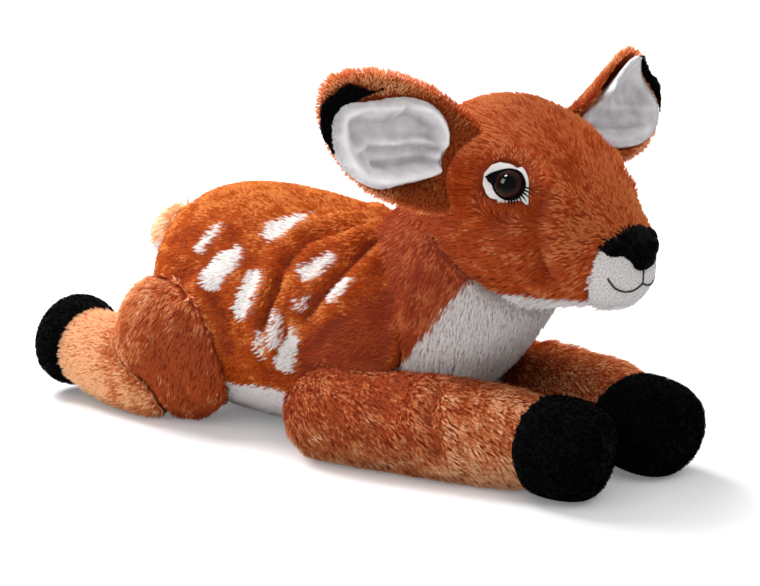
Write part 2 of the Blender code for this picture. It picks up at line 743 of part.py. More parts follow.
    def build_hind_legs(self):
        for name, side in SIDES.items():
            point = Vector((HIND_PIVOT.x, HIND_PIVOT.y * side, HIND_PIVOT.z))
            joint = f"hind_leg_{name}"
            self.pivot(joint, point)
            lift = [-HIND_LIFT * share for share in (0.0, 0.5, 1.0)]
            bodies = turned_copies(f"body_past_{joint}", self.body_mesh.data, point,
                                   Vector((0.0, 1.0, 0.0)), lift, self.tools)
            thigh_mesh = limb_cage(f"thigh_form_{name}", THIGH, 10, side)
            thigh = self.piece(f"thigh_{name}", thigh_mesh.copy(), RUST, joint)
            smooth(thigh)
            for tool in [self.floor] + bodies:
                cut(thigh, tool)
            thigh_room = self.grown(f"thigh_clearance_{name}", thigh_mesh, GAP, [])
            shank_mesh = limb_cage(f"shank_form_{name}", SHANK, 10, side)
            shank = self.piece(f"hind_leg_{name}", shank_mesh.copy(), PEACH, joint)
            smooth(shank)
            for tool in [thigh_room, self.floor] + bodies:
                cut(shank, tool)
            sleeve = self.grown(f"hind_sleeve_{name}", shank_mesh, GAP, [])
            hoof_mesh = limb_cage(f"hind_hoof_form_{name}", HIND_HOOF, 10, side)
            hoof = self.piece(f"hind_hoof_{name}", hoof_mesh, BLACK, joint)
            smooth(hoof)
            cut(hoof, sleeve)
            cut(hoof, self.floor)

    def build_tail(self):
        self.pivot("tail", TAIL_PIVOT)
        bodies = turned_copies("body_past_tail", self.body_mesh.data, TAIL_PIVOT, Vector((0.0, 1.0, 0.0)),
                               (TAIL_DOWN, 0.0, -TAIL_UP / 2.0, -TAIL_UP), self.tools)
        mesh = limb_cage("tail_form", TAIL, 10)
        half_gap = TAIL_SEAM_NORMAL * (GAP / 2.0)
        under = self.space("under_tail", TAIL_SEAM - half_gap, TAIL_SEAM_NORMAL)
        over = self.space("over_tail", TAIL_SEAM + half_gap, -TAIL_SEAM_NORMAL)
        for name, finish, tool in (("tail_top", PEACH, under), ("tail_underside", WHITE, over)):
            made = self.piece(name, mesh.copy(), finish, "tail")
            smooth(made)
            cut(made, tool)
            for body in bodies:
                cut(made, body)

    def build(self):
        self.pivot("neck", NECK_PIVOT)
        self.pivot("head", HEAD_PIVOT)
        self.build_shared_cutters()
        self.build_body()
        self.build_neck()
        self.build_head()
        self.build_ears()
        self.build_front_legs()
        self.build_hind_legs()
        self.build_tail()
        for name, empty in self.pivots.items():
            print("pivot", name, [round(value, 4) for value in empty.location])
        for name, axis in self.ear_axes.items():
            print("ear axis", name, [round(value, 4) for value in axis])


def turn(item, steps):
    """Spin a profile in the XZ plane about Z."""
    spun = item.modifiers.new("turn", "SCREW")
    spun.axis = "Z"
    spun.steps = steps
    spun.render_steps = steps
    spun.use_merge_vertices = True
    spun.merge_threshold = 0.00001
    spun.use_smooth_shade = True


def profile_mesh(name, points):
    """Open or closed line in the XZ plane; a line that ends on the axis closes when it is turned."""
    shape = bmesh.new()
    corners = [shape.verts.new(Vector((x, 0.0, z)) * MM) for x, z in points]
    for first, second in zip(corners[:-1], corners[1:]):
        shape.edges.new((first, second))
    mesh = bpy.data.meshes.new(name)
    shape.to_mesh(mesh)
    shape.free()
    return mesh


def eye_mesh():
    """Dome with a rim and a post; the profile runs down its outer side."""
    low = -LINER_DEPTH + FELT + EYE_LIFT
    shoulder = low + EYE_RIM
    points = []
    steps = 6
    for i in range(steps):
        share = math.pi / 2.0 * i / steps
        points.append((EYE_RADIUS * math.sin(share), shoulder + (EYE_HEIGHT - EYE_RIM) * math.cos(share)))
    chamfer = 0.8
    points += [(EYE_RADIUS, shoulder), (EYE_RADIUS - chamfer, low), (POST_RADIUS, low)]
    points += [(POST_RADIUS, chamfer - POST_LENGTH), (POST_RADIUS - chamfer, -POST_LENGTH)]
    points.append((0.0, -POST_LENGTH))
    return profile_mesh("eye", points)


def washer_mesh():
    """Locking washer pressed on the post behind the fabric."""
    bore = POST_RADIUS + 0.3
    boss = bore + 2.0
    bevel = 0.4
    top = -SKIN - 3.0 * GAP
    low = top - WASHER_THICK
    points = [(bore, top + bevel), (boss - bevel, top + bevel), (boss, top), (WASHER_RADIUS, top),
              (WASHER_RADIUS, low), (bore, low), (bore, top + bevel)]
    return profile_mesh("washer", points)


clear_scene()
Fawn().build()
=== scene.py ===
"""Looks of a plush fawn that lies on its belly: pile fabric, velvet, felt and glossy eyes on its solids.

The fawn faces +X, its left is +Y and it rests on Z = 0. Sizes in this file are in millimetres and become
metres in the meshes.
"""
import json
import logging
import math
from collections.abc import Sequence
from dataclasses import dataclass
from enum import Enum
from functools import cached_property

import bmesh
import bpy
import numpy as np
from mathutils import Matrix, Vector
from mathutils.bvhtree import BVHTree

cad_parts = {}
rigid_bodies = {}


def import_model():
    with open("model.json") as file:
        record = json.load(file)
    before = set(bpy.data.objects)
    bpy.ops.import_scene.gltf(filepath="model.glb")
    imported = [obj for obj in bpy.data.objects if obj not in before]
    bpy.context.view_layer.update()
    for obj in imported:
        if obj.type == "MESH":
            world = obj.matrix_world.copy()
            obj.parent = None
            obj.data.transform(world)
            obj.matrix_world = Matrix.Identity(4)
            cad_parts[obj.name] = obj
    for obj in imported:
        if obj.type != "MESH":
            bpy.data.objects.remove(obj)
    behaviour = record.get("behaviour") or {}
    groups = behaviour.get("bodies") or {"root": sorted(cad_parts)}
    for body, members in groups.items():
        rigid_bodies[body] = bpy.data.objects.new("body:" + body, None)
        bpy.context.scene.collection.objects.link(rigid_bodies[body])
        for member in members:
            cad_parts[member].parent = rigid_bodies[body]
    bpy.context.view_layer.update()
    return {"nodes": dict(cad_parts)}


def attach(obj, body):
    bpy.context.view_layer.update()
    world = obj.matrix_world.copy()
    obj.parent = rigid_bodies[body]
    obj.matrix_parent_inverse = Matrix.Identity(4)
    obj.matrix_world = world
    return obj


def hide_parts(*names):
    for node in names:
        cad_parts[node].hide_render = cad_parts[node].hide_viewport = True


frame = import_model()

LOG = logging.getLogger("fawn")
MM = 0.001
SIDES = {"left": 1.0, "right": -1.0}
PURE_WHITE = (1.0, 1.0, 1.0, 1.0)
FIBRE_ROUGHNESS = 0.78
FIBRE_SHADES = 6
VELVET_SHADES = ("#020203", "#070709")
# Knit of the lower hind legs and the tail: paler than the rust knit, as painted light from behind
BACKLIT_PEACH_KNIT = ("#b0683c", "#d08c5c")
FREE_WAY = 14.0
LEAST_PILE = 0.12
HOOF_VOXEL = 1.8
HOOF_INSET = 1.3
HOOF_FREE_WAY = 10.0
HOOF_OPEN_AIR = 5.0
BIB_NORMAL = (0.783, 0.0, -0.622)
BIB_OFFSET = 45.0

Point = tuple[float, float, float]
Outline = tuple[tuple[float, float], ...]


def linear(code: str) -> tuple[float, float, float, float]:
    """Turn an sRGB hex colour such as "#a04020" into linear values with an alpha of 1."""
    values = [int(code[i:i + 2], 16) / 255.0 for i in (1, 3, 5)]
    red, green, blue = [v / 12.92 if v <= 0.04045 else ((v + 0.055) / 1.055) ** 2.4 for v in values]
    return red, green, blue, 1.0


class Graph:
    """A node tree with short ways to add nodes."""

    def __init__(self, tree: bpy.types.NodeTree) -> None:
        self.tree = tree

    def feed(self, node: bpy.types.Node, settings: dict) -> bpy.types.Node:
        """Set up a node.

        Args:
            node: the node.
            settings: properties by their lower-case names, and inputs by number or capitalised name. An input
                takes a value, or the socket or node that feeds it.

        Returns:
            The same node.
        """
        for key, value in settings.items():
            source = value.outputs[0] if isinstance(value, bpy.types.Node) else value
            if isinstance(key, str) and key[0].islower():
                setattr(node, key, source)
            elif isinstance(source, bpy.types.NodeSocket):
                self.tree.links.new(source, node.inputs[key])
            else:
                node.inputs[key].default_value = source
        return node

    def add(self, kind: str, settings: dict | None = None) -> bpy.types.Node:
        """Add a node of a kind and set it up as feed() does."""
        return self.feed(self.tree.nodes.new(kind), settings or {})

    def maths(self, operation: str, *sources: object) -> bpy.types.NodeSocket:
        """Return the output of a Math node fed by sockets or numbers."""
        return self.add("ShaderNodeMath", {"operation": operation, **dict(enumerate(sources))}).outputs[0]

    def vector(self, operation: str, first: object, second: object = (0.0, 0.0, 0.0)) -> bpy.types.NodeSocket:
        """Return the output of a Vector Math node; SCALE takes a number as its second source."""
        key = "Scale" if operation == "SCALE" else 1
        node = self.add("ShaderNodeVectorMath", {"operation": operation, 0: first, key: second})
        return node.outputs["Value" if operation == "LENGTH" else "Vector"]

    def noise(self, size: float, detail: float, place: object,
              roughness: float = 0.5) -> bpy.types.NodeSocket:
        """Return noise whose patches are about as wide as the size in mm."""
        return self.add("ShaderNodeTexNoise", {"Scale": 1.0 / (size * MM), "Detail": detail, "Vector": place,
                                               "Roughness": roughness}).outputs["Fac"]

    def remap(self, value: object, low: float, high: float, first: float = 0.0,
              last: float = 1.0) -> bpy.types.NodeSocket:
        """Return a value mapped from low and high to the first and last number."""
        return self.add("ShaderNodeMapRange", {0: value, 1: low, 2: high, 3: first, 4: last}).outputs[0]

    def place(self) -> bpy.types.NodeSocket:
        """Return the object coordinates."""
        return self.add("ShaderNodeTexCoord").outputs["Object"]


class Finish(Graph):
    """A material in the making."""

    def __init__(self, name: str, roughness: float, specular: float, sheen: float = 0.0) -> None:
        """Make a material with its Principled shader.

        Args:
            name: the material's name.
            roughness: the shader's roughness.
            specular: its specular level.
            sheen: its sheen weight.
        """
        self.material = bpy.data.materials.new(name)
        self.material.use_nodes = True
        super().__init__(self.material.node_tree)
        self.shader = self.tree.nodes["Principled BSDF"]
        self.shade(**{"Roughness": roughness, "Specular IOR Level": specular, "Sheen Weight": sheen})

    def shade(self, **inputs: object) -> bpy.types.Material:
        """Set or feed inputs of the shader and return the material."""
        self.feed(self.shader, inputs)
        return self.material

    def attribute(self, name: str) -> bpy.types.NodeSocket:
        """Return a number that the mesh keeps."""
        return self.add("ShaderNodeAttribute", {"attribute_name": name}).outputs["Fac"]

    def mix(self, share: object, *colours: object) -> bpy.types.NodeSocket:
        """Return the mix of two colours, each a hex code or a socket."""
        first, second = [linear(colour) if isinstance(colour, str) else colour for colour in colours]
        return self.add("ShaderNodeMix", {"data_type": "RGBA", 0: share, 6: first, 7: second}).outputs[2]

    def bump(self, height: object, strength: float, distance: float) -> bpy.types.NodeSocket:
        """Return normals that a height disturbs, by a distance in mm."""
        return self.add("ShaderNodeBump", {"Strength": strength, "Distance": distance * MM,
                                           "Height": height}).outputs["Normal"]


@dataclass(frozen=True)
class Strand:
    """Thread or pile fibre in one dyed shade: soft, hardly glossy, with a sheen at grazing light."""

    name: str
    colour: str
    sheen: float = 0.0
    specular: float = 0.3
    glow: str = "#ffffff"
    roughness: float = 0.6

    def material(self) -> bpy.types.Material:
        """Make the strand's material."""
        finish = Finish(self.name, self.roughness, self.specular, self.sheen)
        return finish.shade(**{"Base Color": linear(self.colour), "Sheen Roughness": 0.3,
                               "Sheen Tint": linear(self.glow)})


@dataclass(frozen=True)
class Backing:
    """Knitted backing between the pile's roots: darker than the pile, as painted shade deep in it, uneven
    and softly rough.

    It takes its colours from the form's "white" and "tone" attributes, so that spots go on under the pile,
    and so does the painted light and shade that the tone carries.
    """

    name: str
    dark: str = "#7e2f12"
    bright: str = "#9c401c"
    white: str = "#c9bfb9"
    patch_size: float = 9.0
    loop_size: float = 1.1

    def material(self) -> bpy.types.Material:
        """Make the backing's material."""
        finish = Finish(self.name, 0.92, 0.05)
        place = finish.place()
        patches = finish.noise(self.patch_size, 3.0, place)
        level = finish.add("ShaderNodeMath", {"operation": "ADD", "use_clamp": True, 0: patches,
                                              1: finish.attribute("tone")})
        final = finish.mix(finish.attribute("white"), finish.mix(level, self.dark, self.bright), self.white)
        rough = finish.bump(finish.noise(self.loop_size, 2.0, place), 0.35, 0.6)
        return finish.shade(**{"Base Color": final, "Normal": rough})


@dataclass(frozen=True)
class Felt:
    """Pressed felt or velour: matt, with fine matted fibres that catch a little light at the edges."""

    name: str
    dark: str
    bright: str
    fibre_size: float = 0.9
    sheen: float = 0.25
    specular: float = 0.15

    def material(self) -> bpy.types.Material:
        """Make the felt's material."""
        finish = Finish(self.name, 0.95, self.specular, self.sheen)
        stretched = finish.add("ShaderNodeMapping", {"Scale": (1.0, 1.0, 2.4), "Vector": finish.place()})
        fibres = finish.noise(self.fibre_size, 4.0, stretched, 0.65)
        return finish.shade(**{"Base Color": finish.mix(fibres, self.dark, self.bright),
                               "Normal": finish.bump(fibres, 0.3, 0.3)})


def black_velvet(part: str, fibre_size: float = 0.8) -> Felt:
    """Return the look of a part's black velvet."""
    return Felt(f"black_velvet_{part}", *VELVET_SHADES, fibre_size, 0.02, 0.02)


@dataclass(frozen=True)
class EyePlastic:
    """Moulded acrylic eye: a clear hard gloss over a painted brown iris and a black pupil.

    Attributes:
        name: the material's name.
        centre: middle of the eye's dome in metres.
        pupil: radius of the pupil in mm.
        iris: radius of the iris in mm.
        streak: width of the iris's streaks in mm.
        pupil_edge: over how many mm the pupil turns into the iris.
        iris_edge: over how many mm the iris turns into its dark rim.
    """

    name: str
    centre: Vector
    pupil: float = 6.1
    iris: float = 7.7
    streak: float = 0.55
    pupil_edge: float = 0.7
    iris_edge: float = 0.8

    def material(self) -> bpy.types.Material:
        """Make the eye's material."""
        finish = Finish(self.name, 0.06, 0.06)
        place = finish.place()
        reach = finish.vector("LENGTH", finish.vector("SUBTRACT", place, tuple(self.centre)))
        brown = finish.mix(finish.noise(self.streak, 2.0, place), "#1a0a06", "#381b10")
        ring = finish.remap(reach, self.pupil * MM, (self.pupil + self.pupil_edge) * MM)
        edge = finish.remap(reach, self.iris * MM, (self.iris + self.iris_edge) * MM)
        return finish.shade(**{"Base Color": finish.mix(edge, finish.mix(ring, "#020202", brown), "#070403"),
                               "IOR": 1.49})


def made_once(look: Strand | Felt) -> bpy.types.Material:
    """Return a look's material, made at its first use."""
    return bpy.data.materials.get(look.name) or look.material()


@dataclass(frozen=True)
class Palette:
    """Six shades of a pile fabric: four from deep to pale, then white roots in painted shade and white tips.
    """

    name: str
    shades: tuple[str, str, str, str]
    whites: tuple[str, str] = ("#e3dfdd", "#f1eeec")
    sheen: float = 0.14
    specular: float = 0.06
    glow: str = "#ff9d58"

    def materials(self) -> list[bpy.types.Material]:
        """Return the six fibre materials in order."""
        dyed = [(f"{self.name}_{part}", colour, self.sheen, self.specular, self.glow)
                for part, colour in zip(("deep", "middle", "light", "pale"), self.shades)]
        white = [(f"white_pile_{part}_{colour[1:]}", colour, 0.05, self.specular, "#ffffff")
                 for part, colour in zip(("root", "tip"), self.whites)]
        return [made_once(Strand(*fibre, FIBRE_ROUGHNESS)) for fibre in (*dyed, *white)]


# The pale shades of a palette are picked as painted light and the deep ones as painted shade where a form's
# tone asks for them; beside that, the tone differs at random
RUST = Palette("rust_pile", ("#9c3811", "#a94216", "#b95122", "#d07a45"))
# A darker copy of the rust pile with greyer whites: painted shade on the neck, the bib and the shoulder
SHADED = Palette("neck_pile", ("#86290a", "#93330f", "#a54319", "#bf6636"), ("#c9c2bf", "#e0dbd9"))
SPOTTED = Palette("orange_pile", ("#902c02", "#a43c05", "#be530c", "#de8a42"))
PEACH = Palette("peach_pile", ("#d0804e", "#e2a070", "#f0c298", "#fbe0bc"))
# Its pale shades are painted light on the legs' lit parts
HAUNCH = Palette("haunch_pile", ("#98370f", "#b04e20", "#d3834f", "#eebb8c"))
# Its pale shades are painted light on the ear's rim
RIM = Palette("ear_rim_pile", ("#a44518", "#bd602f", "#dc8b56", "#f0b581"))
# Its grey shades are painted shade in the lining's folds
LINING = Palette("lining_pile", ("#b7b2b5", "#c8c4c6", "#dad7d8", "#efedee"), sheen=0.03, glow="#ffffff")
BLACK = Palette("black_pile", ("#020203", "#030304", "#040405", "#050507"), ("#030305", "#07070a"), 0.0, 0.0)
WHITE = Palette("white_pile", ("#cdcdd0", "#dadadd", "#e7e7e9", "#f5f5f6"), ("#dddddf", "#ececed"), 0.03,
                glow="#ffffff")


@dataclass(frozen=True)
class Pile:
    """How the fibres of a pile fabric stand.

    Attributes:
        length: of a fibre, in mm.
        density: tufts per square millimetre; a tuft has a few fibres.
        lean: how far the comb lays the fibres down.
        stray: how far single tufts depart from their neighbours.
        clump: how far neighbours lean together.
        clump_size: distance over which they do, in mm.
        width: of a fibre, as a share of the tuft's drawn width.
    """

    length: float
    density: float
    lean: float
    stray: float
    clump: float
    clump_size: float
    width: float


class Lay(Enum):
    """Kinds of pile by how they are cut."""

    PLUSH = Pile(7.2, 0.50, 0.95, 0.14, 0.26, 5.0, 0.9)
    SHORN = Pile(5.6, 0.54, 0.80, 0.13, 0.22, 5.0, 0.9)
    RIM = Pile(5.6, 1.05, 1.00, 0.22, 0.12, 5.0, 0.6)
    VELVET = Pile(2.0, 0.42, 0.55, 0.30, 0.25, 5.0, 0.9)
    VELOUR = Pile(1.1, 0.95, 0.45, 0.30, 0.20, 6.0, 0.6)


def modifier_graph(name: str, inputs: dict[str, str]) -> tuple[Graph, bpy.types.NodeOutputs]:
    """Start a Geometry Nodes tree.

    Args:
        name: the tree's name.
        inputs: kind of each input's socket by its name, beside the geometry.

    Returns:
        The tree's graph and what its inputs give.
    """
    tree = bpy.data.node_groups.new(name, "GeometryNodeTree")
    tree.is_modifier = True
    geometry = {"Geometry": "Geometry"}
    for way, sockets in (("INPUT", geometry | inputs), ("OUTPUT", geometry)):
        for label, kind in sockets.items():
            tree.interface.new_socket(name=label, in_out=way, socket_type=f"NodeSocket{kind}")
    graph = Graph(tree)
    return graph, graph.add("NodeGroupInput").outputs


def pile_tree() -> bpy.types.GeometryNodeTree:
    """Build the tree that spreads combed tufts over a form and gives each fibre its shade.

    Returns:
        The node tree. It reads the form's "pile", "share", "comb", "white" and "tone" attributes.
    """
    numbers = ("Density", "Length", "Lean", "Stray", "Clump", "Clump Size", "Width", "Side")
    shades = [f"Shade {i}" for i in range(FIBRE_SHADES)]
    graph, given = modifier_graph("pile_fabric", {"Tufts": "Collection", "Seed": "Int"}
                                  | dict.fromkeys(numbers, "Float") | dict.fromkeys(shades, "Material"))
    maths, vector = graph.maths, graph.vector

    def named(name: str, kind: str = "FLOAT") -> bpy.types.NodeSocket:
        """Return the output of a Named Attribute node."""
        return graph.add("GeometryNodeInputNamedAttribute", {"data_type": kind, "Name": name}).outputs[0]

    def stored(name: str, kind: str, points: object, value: object) -> bpy.types.Node:
        """Keep a value at each point."""
        settings = {"data_type": kind, "domain": "POINT", "Name": name, "Geometry": points, "Value": value}
        return graph.add("GeometryNodeStoreNamedAttribute", settings)

    def chance(low: float, high: float, seed: int) -> bpy.types.NodeSocket:
        """Return a random number for each point."""
        return graph.add("FunctionNodeRandomValue", {"data_type": "FLOAT", 2: low, 3: high,
                                                     "Seed": seed}).outputs[1]

    place = graph.add("GeometryNodeInputPosition").outputs[0]
    sideways = graph.add("ShaderNodeSeparateXYZ", {0: place}).outputs["Y"]
    pile = named("pile")
    comb = named("comb", "FLOAT_VECTOR")
    covered = maths("GREATER_THAN", pile, LEAST_PILE)
    on_side = maths("GREATER_THAN", maths("MULTIPLY", sideways, given["Side"]), -1.0e-7)
    here = maths("MULTIPLY", maths("MULTIPLY", covered, on_side), named("share"))
    spread = graph.add("GeometryNodeDistributePointsOnFaces",
                       {"distribute_method": "RANDOM", "Mesh": given["Geometry"], "Seed": given["Seed"],
                        "Density": maths("MULTIPLY", given["Density"], here)}).outputs
    clumps = graph.add("ShaderNodeTexNoise", {"Detail": 1.0, "Vector": place,
                                              "Scale": maths("DIVIDE", 1.0, given["Clump Size"])})
    centred = vector("SUBTRACT", clumps.outputs["Color"], (0.5, 0.5, 0.5))
    together = vector("SCALE", centred, maths("MULTIPLY", given["Clump"], 3.0))
    loose = graph.add("FunctionNodeRandomValue", {"data_type": "FLOAT_VECTOR", 0: (-1.0, -1.0, -1.0),
                                                  1: (1.0, 1.0, 1.0), "Seed": 11})
    strayed = vector("ADD", together, vector("SCALE", loose, given["Stray"]))
    leaning = vector("ADD", spread["Normal"], vector("SCALE", comb, given["Lean"]))
    upright = graph.add("FunctionNodeAlignRotationToVector",
                        {"axis": "Z", "Vector": vector("ADD", leaning, strayed)})
    turned = graph.add("FunctionNodeAlignRotationToVector",
                       {"axis": "X", "pivot_axis": "Z", "Rotation": upright,
                        "Vector": vector("ADD", comb, strayed)})
    height = maths("MULTIPLY", maths("MULTIPLY", given["Length"], pile), chance(0.72, 1.08, 3))
    girth = maths("MULTIPLY", given["Width"], MM)
    size = graph.add("ShaderNodeCombineXYZ", {"X": girth, "Y": girth, "Z": height})
    # Shades 0 to 3 are the dyed ones, 4 and 5 the white ones, and a fibre's tip is one shade up from its
    # root:
    # painted light on the tips and painted shade at the roots
    uneven = maths("MULTIPLY_ADD", graph.noise(11.0, 2.0, place), 1.2, maths("ADD", named("tone"), -0.1))
    level = maths("ADD", uneven, chance(-0.18, 0.18, 5))
    kept = graph.add("ShaderNodeClamp", {"Min": 0.0, "Max": 0.999, "Value": level})
    dyed = maths("FLOOR", maths("MULTIPLY", kept.outputs[0], 3.0))
    pale = maths("LESS_THAN", chance(0.02, 0.98, 7), named("white"))
    shade = maths("ADD", maths("MULTIPLY", dyed, maths("SUBTRACT", 1.0, pale)), maths("MULTIPLY", pale, 4.0))
    marked = stored("shade", "FLOAT", spread["Points"], shade)
    # Fibres are lit as the fabric that they stand on, as deep soft pile is
    facing = vector("ADD", spread["Normal"], vector("SCALE", centred, 0.75))
    lit = stored("lit", "FLOAT_VECTOR", marked, facing)
    tufts = graph.add("GeometryNodeCollectionInfo", {"Separate Children": True, "Reset Children": True,
                                                     "Collection": given["Tufts"]})
    planted = graph.add("GeometryNodeInstanceOnPoints",
                        {"Pick Instance": True, "Points": lit, "Instance": tufts, "Rotation": turned,
                         "Scale": size})
    real = graph.add("GeometryNodeRealizeInstances", {0: planted})
    last = graph.add("GeometryNodeSetMeshNormal", {"mode": "FREE", "domain": "POINT", "Mesh": real,
                                                   "Custom Normal": named("lit", "FLOAT_VECTOR")})
    which = maths("ADD", named("shade"), named("tip"))
    for i, name in enumerate(shades):
        chosen = graph.add("FunctionNodeCompare", {"data_type": "FLOAT", "operation": "EQUAL", 0: which,
                                                   1: float(i), "Epsilon": 0.3})
        last = graph.add("GeometryNodeSetMaterial",
                         {"Geometry": last, "Selection": chosen, "Material": given[name]})
    graph.add("NodeGroupOutput", {0: last})
    return graph.tree


def linked(name: str, mesh: bpy.types.Mesh) -> bpy.types.Object:
    """Return a new object of the scene at the origin."""
    made = bpy.data.objects.new(name, mesh)
    bpy.context.scene.collection.objects.link(made)
    return made


def to_mesh(name: str, shape: bmesh.types.BMesh) -> bpy.types.Mesh:
    """Turn a bmesh into a mesh and free it."""
    mesh = bpy.data.meshes.new(name)
    shape.to_mesh(mesh)
    shape.free()
    return mesh


def surface_of(mesh: bpy.types.Mesh) -> BVHTree:
    """Return a mesh's surface, to be met by rays."""
    return BVHTree.FromPolygons([v.co for v in mesh.vertices], [f.vertices for f in mesh.polygons])


def modified(name: str, mesh: bpy.types.Mesh, kind: str, settings: dict | None = None,
             tree: bpy.types.GeometryNodeTree | None = None, inputs: dict | None = None) -> bpy.types.Mesh:
    """Return the plain mesh that a modifier makes of another one.

    Args:
        name: name of the new mesh.
        mesh: what the modifier starts from.
        kind: the modifier's type.
        settings: its properties.
        tree: its node tree.
        inputs: values of the tree's inputs by the names of their sockets.

    Returns:
        The new mesh.
    """
    carrier = linked("carrier", mesh)
    modifier = carrier.modifiers.new("carrier", kind)
    for key, value in (settings or {}).items():
        setattr(modifier, key, value)
    if tree:
        modifier.node_group = tree
        for socket in tree.interface.items_tree:
            if socket.in_out == "INPUT" and socket.name in inputs:
                modifier[socket.identifier] = inputs[socket.name]
    bpy.context.view_layer.update()
    graph = bpy.context.evaluated_depsgraph_get()
    made = bpy.data.meshes.new_from_object(carrier.evaluated_get(graph))
    bpy.data.objects.remove(carrier)
    made.name = name
    return made


def hand_over(piece: bpy.types.Object, body: str, slot: str, *replaced: str) -> None:
    """Let a finished piece ride, and log its size.

    Args:
        piece: the piece.
        body: CAD body that it moves with.
        slot: the record's material slot; not used.
        replaced: CAD nodes that it stands for.
    """
    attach(piece, body)
    if replaced:
        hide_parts(*replaced)
    LOG.info("%s: %d faces", piece.name, len(piece.data.polygons))


@dataclass
class Tufts:
    """Prototypes of a tuft: a few tapered fibres, bent towards +X, one unit long.

    Attributes:
        kinds: how many prototypes there are.
        fibres: fibres in each.
        spread: radius that their roots stand in, in mm.
        width: of a fibre at its root, in mm.
        bend: how far a tip is bent over, in mm.
    """

    kinds: int = 6
    fibres: int = 4
    spread: float = 0.90
    width: float = 0.46
    bend: float = 2.2

    def build(self) -> bpy.types.Collection:
        """Return the collection of prototypes."""
        group = bpy.data.collections.new("tufts")
        bpy.context.scene.collection.children.link(group)
        chance = np.random.default_rng(7)
        for kind in range(self.kinds):
            shape = bmesh.new()
            tip = shape.faces.layers.float.new("tip")
            for _ in range(self.fibres):
                self.fibre(shape, tip, chance)
            group.objects.link(bpy.data.objects.new(f"tuft_{kind}", to_mesh(f"tuft_{kind}", shape)))
        return group

    def fibre(self, shape: bmesh.types.BMesh, tip: bmesh.types.BMLayerItem,
              chance: np.random.Generator) -> None:
        """Add one fibre: a face for its lower part, which widens upwards, and one for its tip."""
        angle = chance.uniform(0.0, 2.0 * math.pi)
        reach = self.spread * math.sqrt(chance.uniform(0.0, 1.0))
        root = Vector((math.cos(angle) * reach, math.sin(angle) * reach, 0.0))
        facing = -math.pi / 2.0 + chance.uniform(-0.8, 0.8)
        across = Vector((math.cos(facing), math.sin(facing), 0.0)) * (self.width / 2.0)
        height = chance.uniform(0.78, 1.0)
        closing = chance.uniform(0.1, 0.9)
        bend = self.bend * chance.uniform(0.5, 1.3)
        middle = root * (0.5 + 0.5 * closing) + Vector((bend * 0.3, 0.0, height * 0.5))
        end = root * closing + Vector((bend, chance.uniform(-0.4, 0.4), height))
        corners = (root, middle - across, middle + across, end)
        low, left, right, high = [shape.verts.new(point) for point in corners]
        shape.faces.new((low, right, left))[tip] = 0.0
        shape.faces.new((left, right, high))[tip] = 1.0


class Weaver:
    """Grows pile on forms."""

    def __init__(self) -> None:
        self.tree = pile_tree()
        self.tufts = Tufts().build()
        self.seed = 0
        self.thinning = 1.0

    def grow(self, form: "Form", name: str, palette: Palette, pile: Pile, side: float) -> bpy.types.Object:
        """Grow the pile of a form that has its attributes.

        Args:
            form: what the pile stands on.
            name: name of the new piece.
            palette: shades of the fibres.
            pile: how they stand.
            side: 1 for the left half alone, -1 for the right one, 0 for all.

        Returns:
            The piece of pile.
        """
        self.seed += 1
        if "share" not in form.piece.data.attributes:
            form.store(share=1.0)
        values = {"Tufts": self.tufts, "Seed": self.seed, "Side": side, "Length": pile.length * MM,
                  "Density": pile.density * self.thinning / MM ** 2, "Lean": pile.lean, "Stray": pile.stray,
                  "Clump": pile.clump, "Clump Size": pile.clump_size * MM, "Width": pile.width}
        values |= {f"Shade {i}": shade for i, shade in enumerate(palette.materials())}
        mesh = modified(name, form.piece.data, "NODES", tree=self.tree, inputs=values)
        for extra in ("shade", "tip", "lit", "pile", "share", "comb", "white", "tone", "id"):
            known = mesh.attributes.get(extra)
            if known:
                mesh.attributes.remove(known)
        return linked(name, mesh)

    def put_away(self) -> None:
        """Remove the prototypes."""
        for item in list(self.tufts.objects):
            bpy.data.objects.remove(item)
        bpy.data.collections.remove(self.tufts)


@dataclass(frozen=True)
class Crease:
    """A groove in the fabric: points in mm that it runs through, its half width, depth and lips' share."""

    path: tuple[Point, ...]
    width: float
    depth: float
    lip: float = 0.35

    def moved(self, side: float, ahead: float = 0.0) -> "Crease":
        """Return the crease moved ahead, and mirrored if the side is -1."""
        path = tuple((x + ahead, y * side, z) for x, y, z in self.path)
        return Crease(path, self.width, self.depth, self.lip)


@dataclass(frozen=True)
class Bulge:
    """A soft swelling: its centre, its radius and its height in mm."""

    centre: Point
    radius: float
    height: float

    def moved(self, side: float) -> "Bulge":
        """Return the bulge, mirrored if the side is -1."""
        x, y, z = self.centre
        return Bulge((x, y * side, z), self.radius, self.height)


def segment_distance(points: np.ndarray, start: Sequence[float],
                     end: Sequence[float]) -> tuple[np.ndarray, np.ndarray]:
    """Measure how far points are from a line between two others.

    Args:
        points: array of points in mm.
        start: first end of the line.
        end: its other end.

    Returns:
        The distances, and the share of the line where each nearest place lies.
    """
    first = np.array(start, float)
    line = np.array(end, float) - first
    share = np.clip((points - first) @ line / max(line @ line, 1e-9), 0.0, 1.0)
    return np.linalg.norm(points - first - share[:, None] * line, axis=1), share


def path_distance(points: np.ndarray, path: Sequence[Sequence[float]]) -> np.ndarray:
    """Return the distance of each point in mm from a path of straight runs."""
    runs = zip(path[:-1], path[1:])
    return np.min([segment_distance(points, start, end)[0] for start, end in runs], axis=0)


def flat_distance(points: np.ndarray, path: Sequence[tuple[float, float]]) -> np.ndarray:
    """Return the distance of each flat point in mm from a flat path."""
    return path_distance(np.column_stack([points, np.zeros(len(points))]), [(x, y, 0.0) for x, y in path])


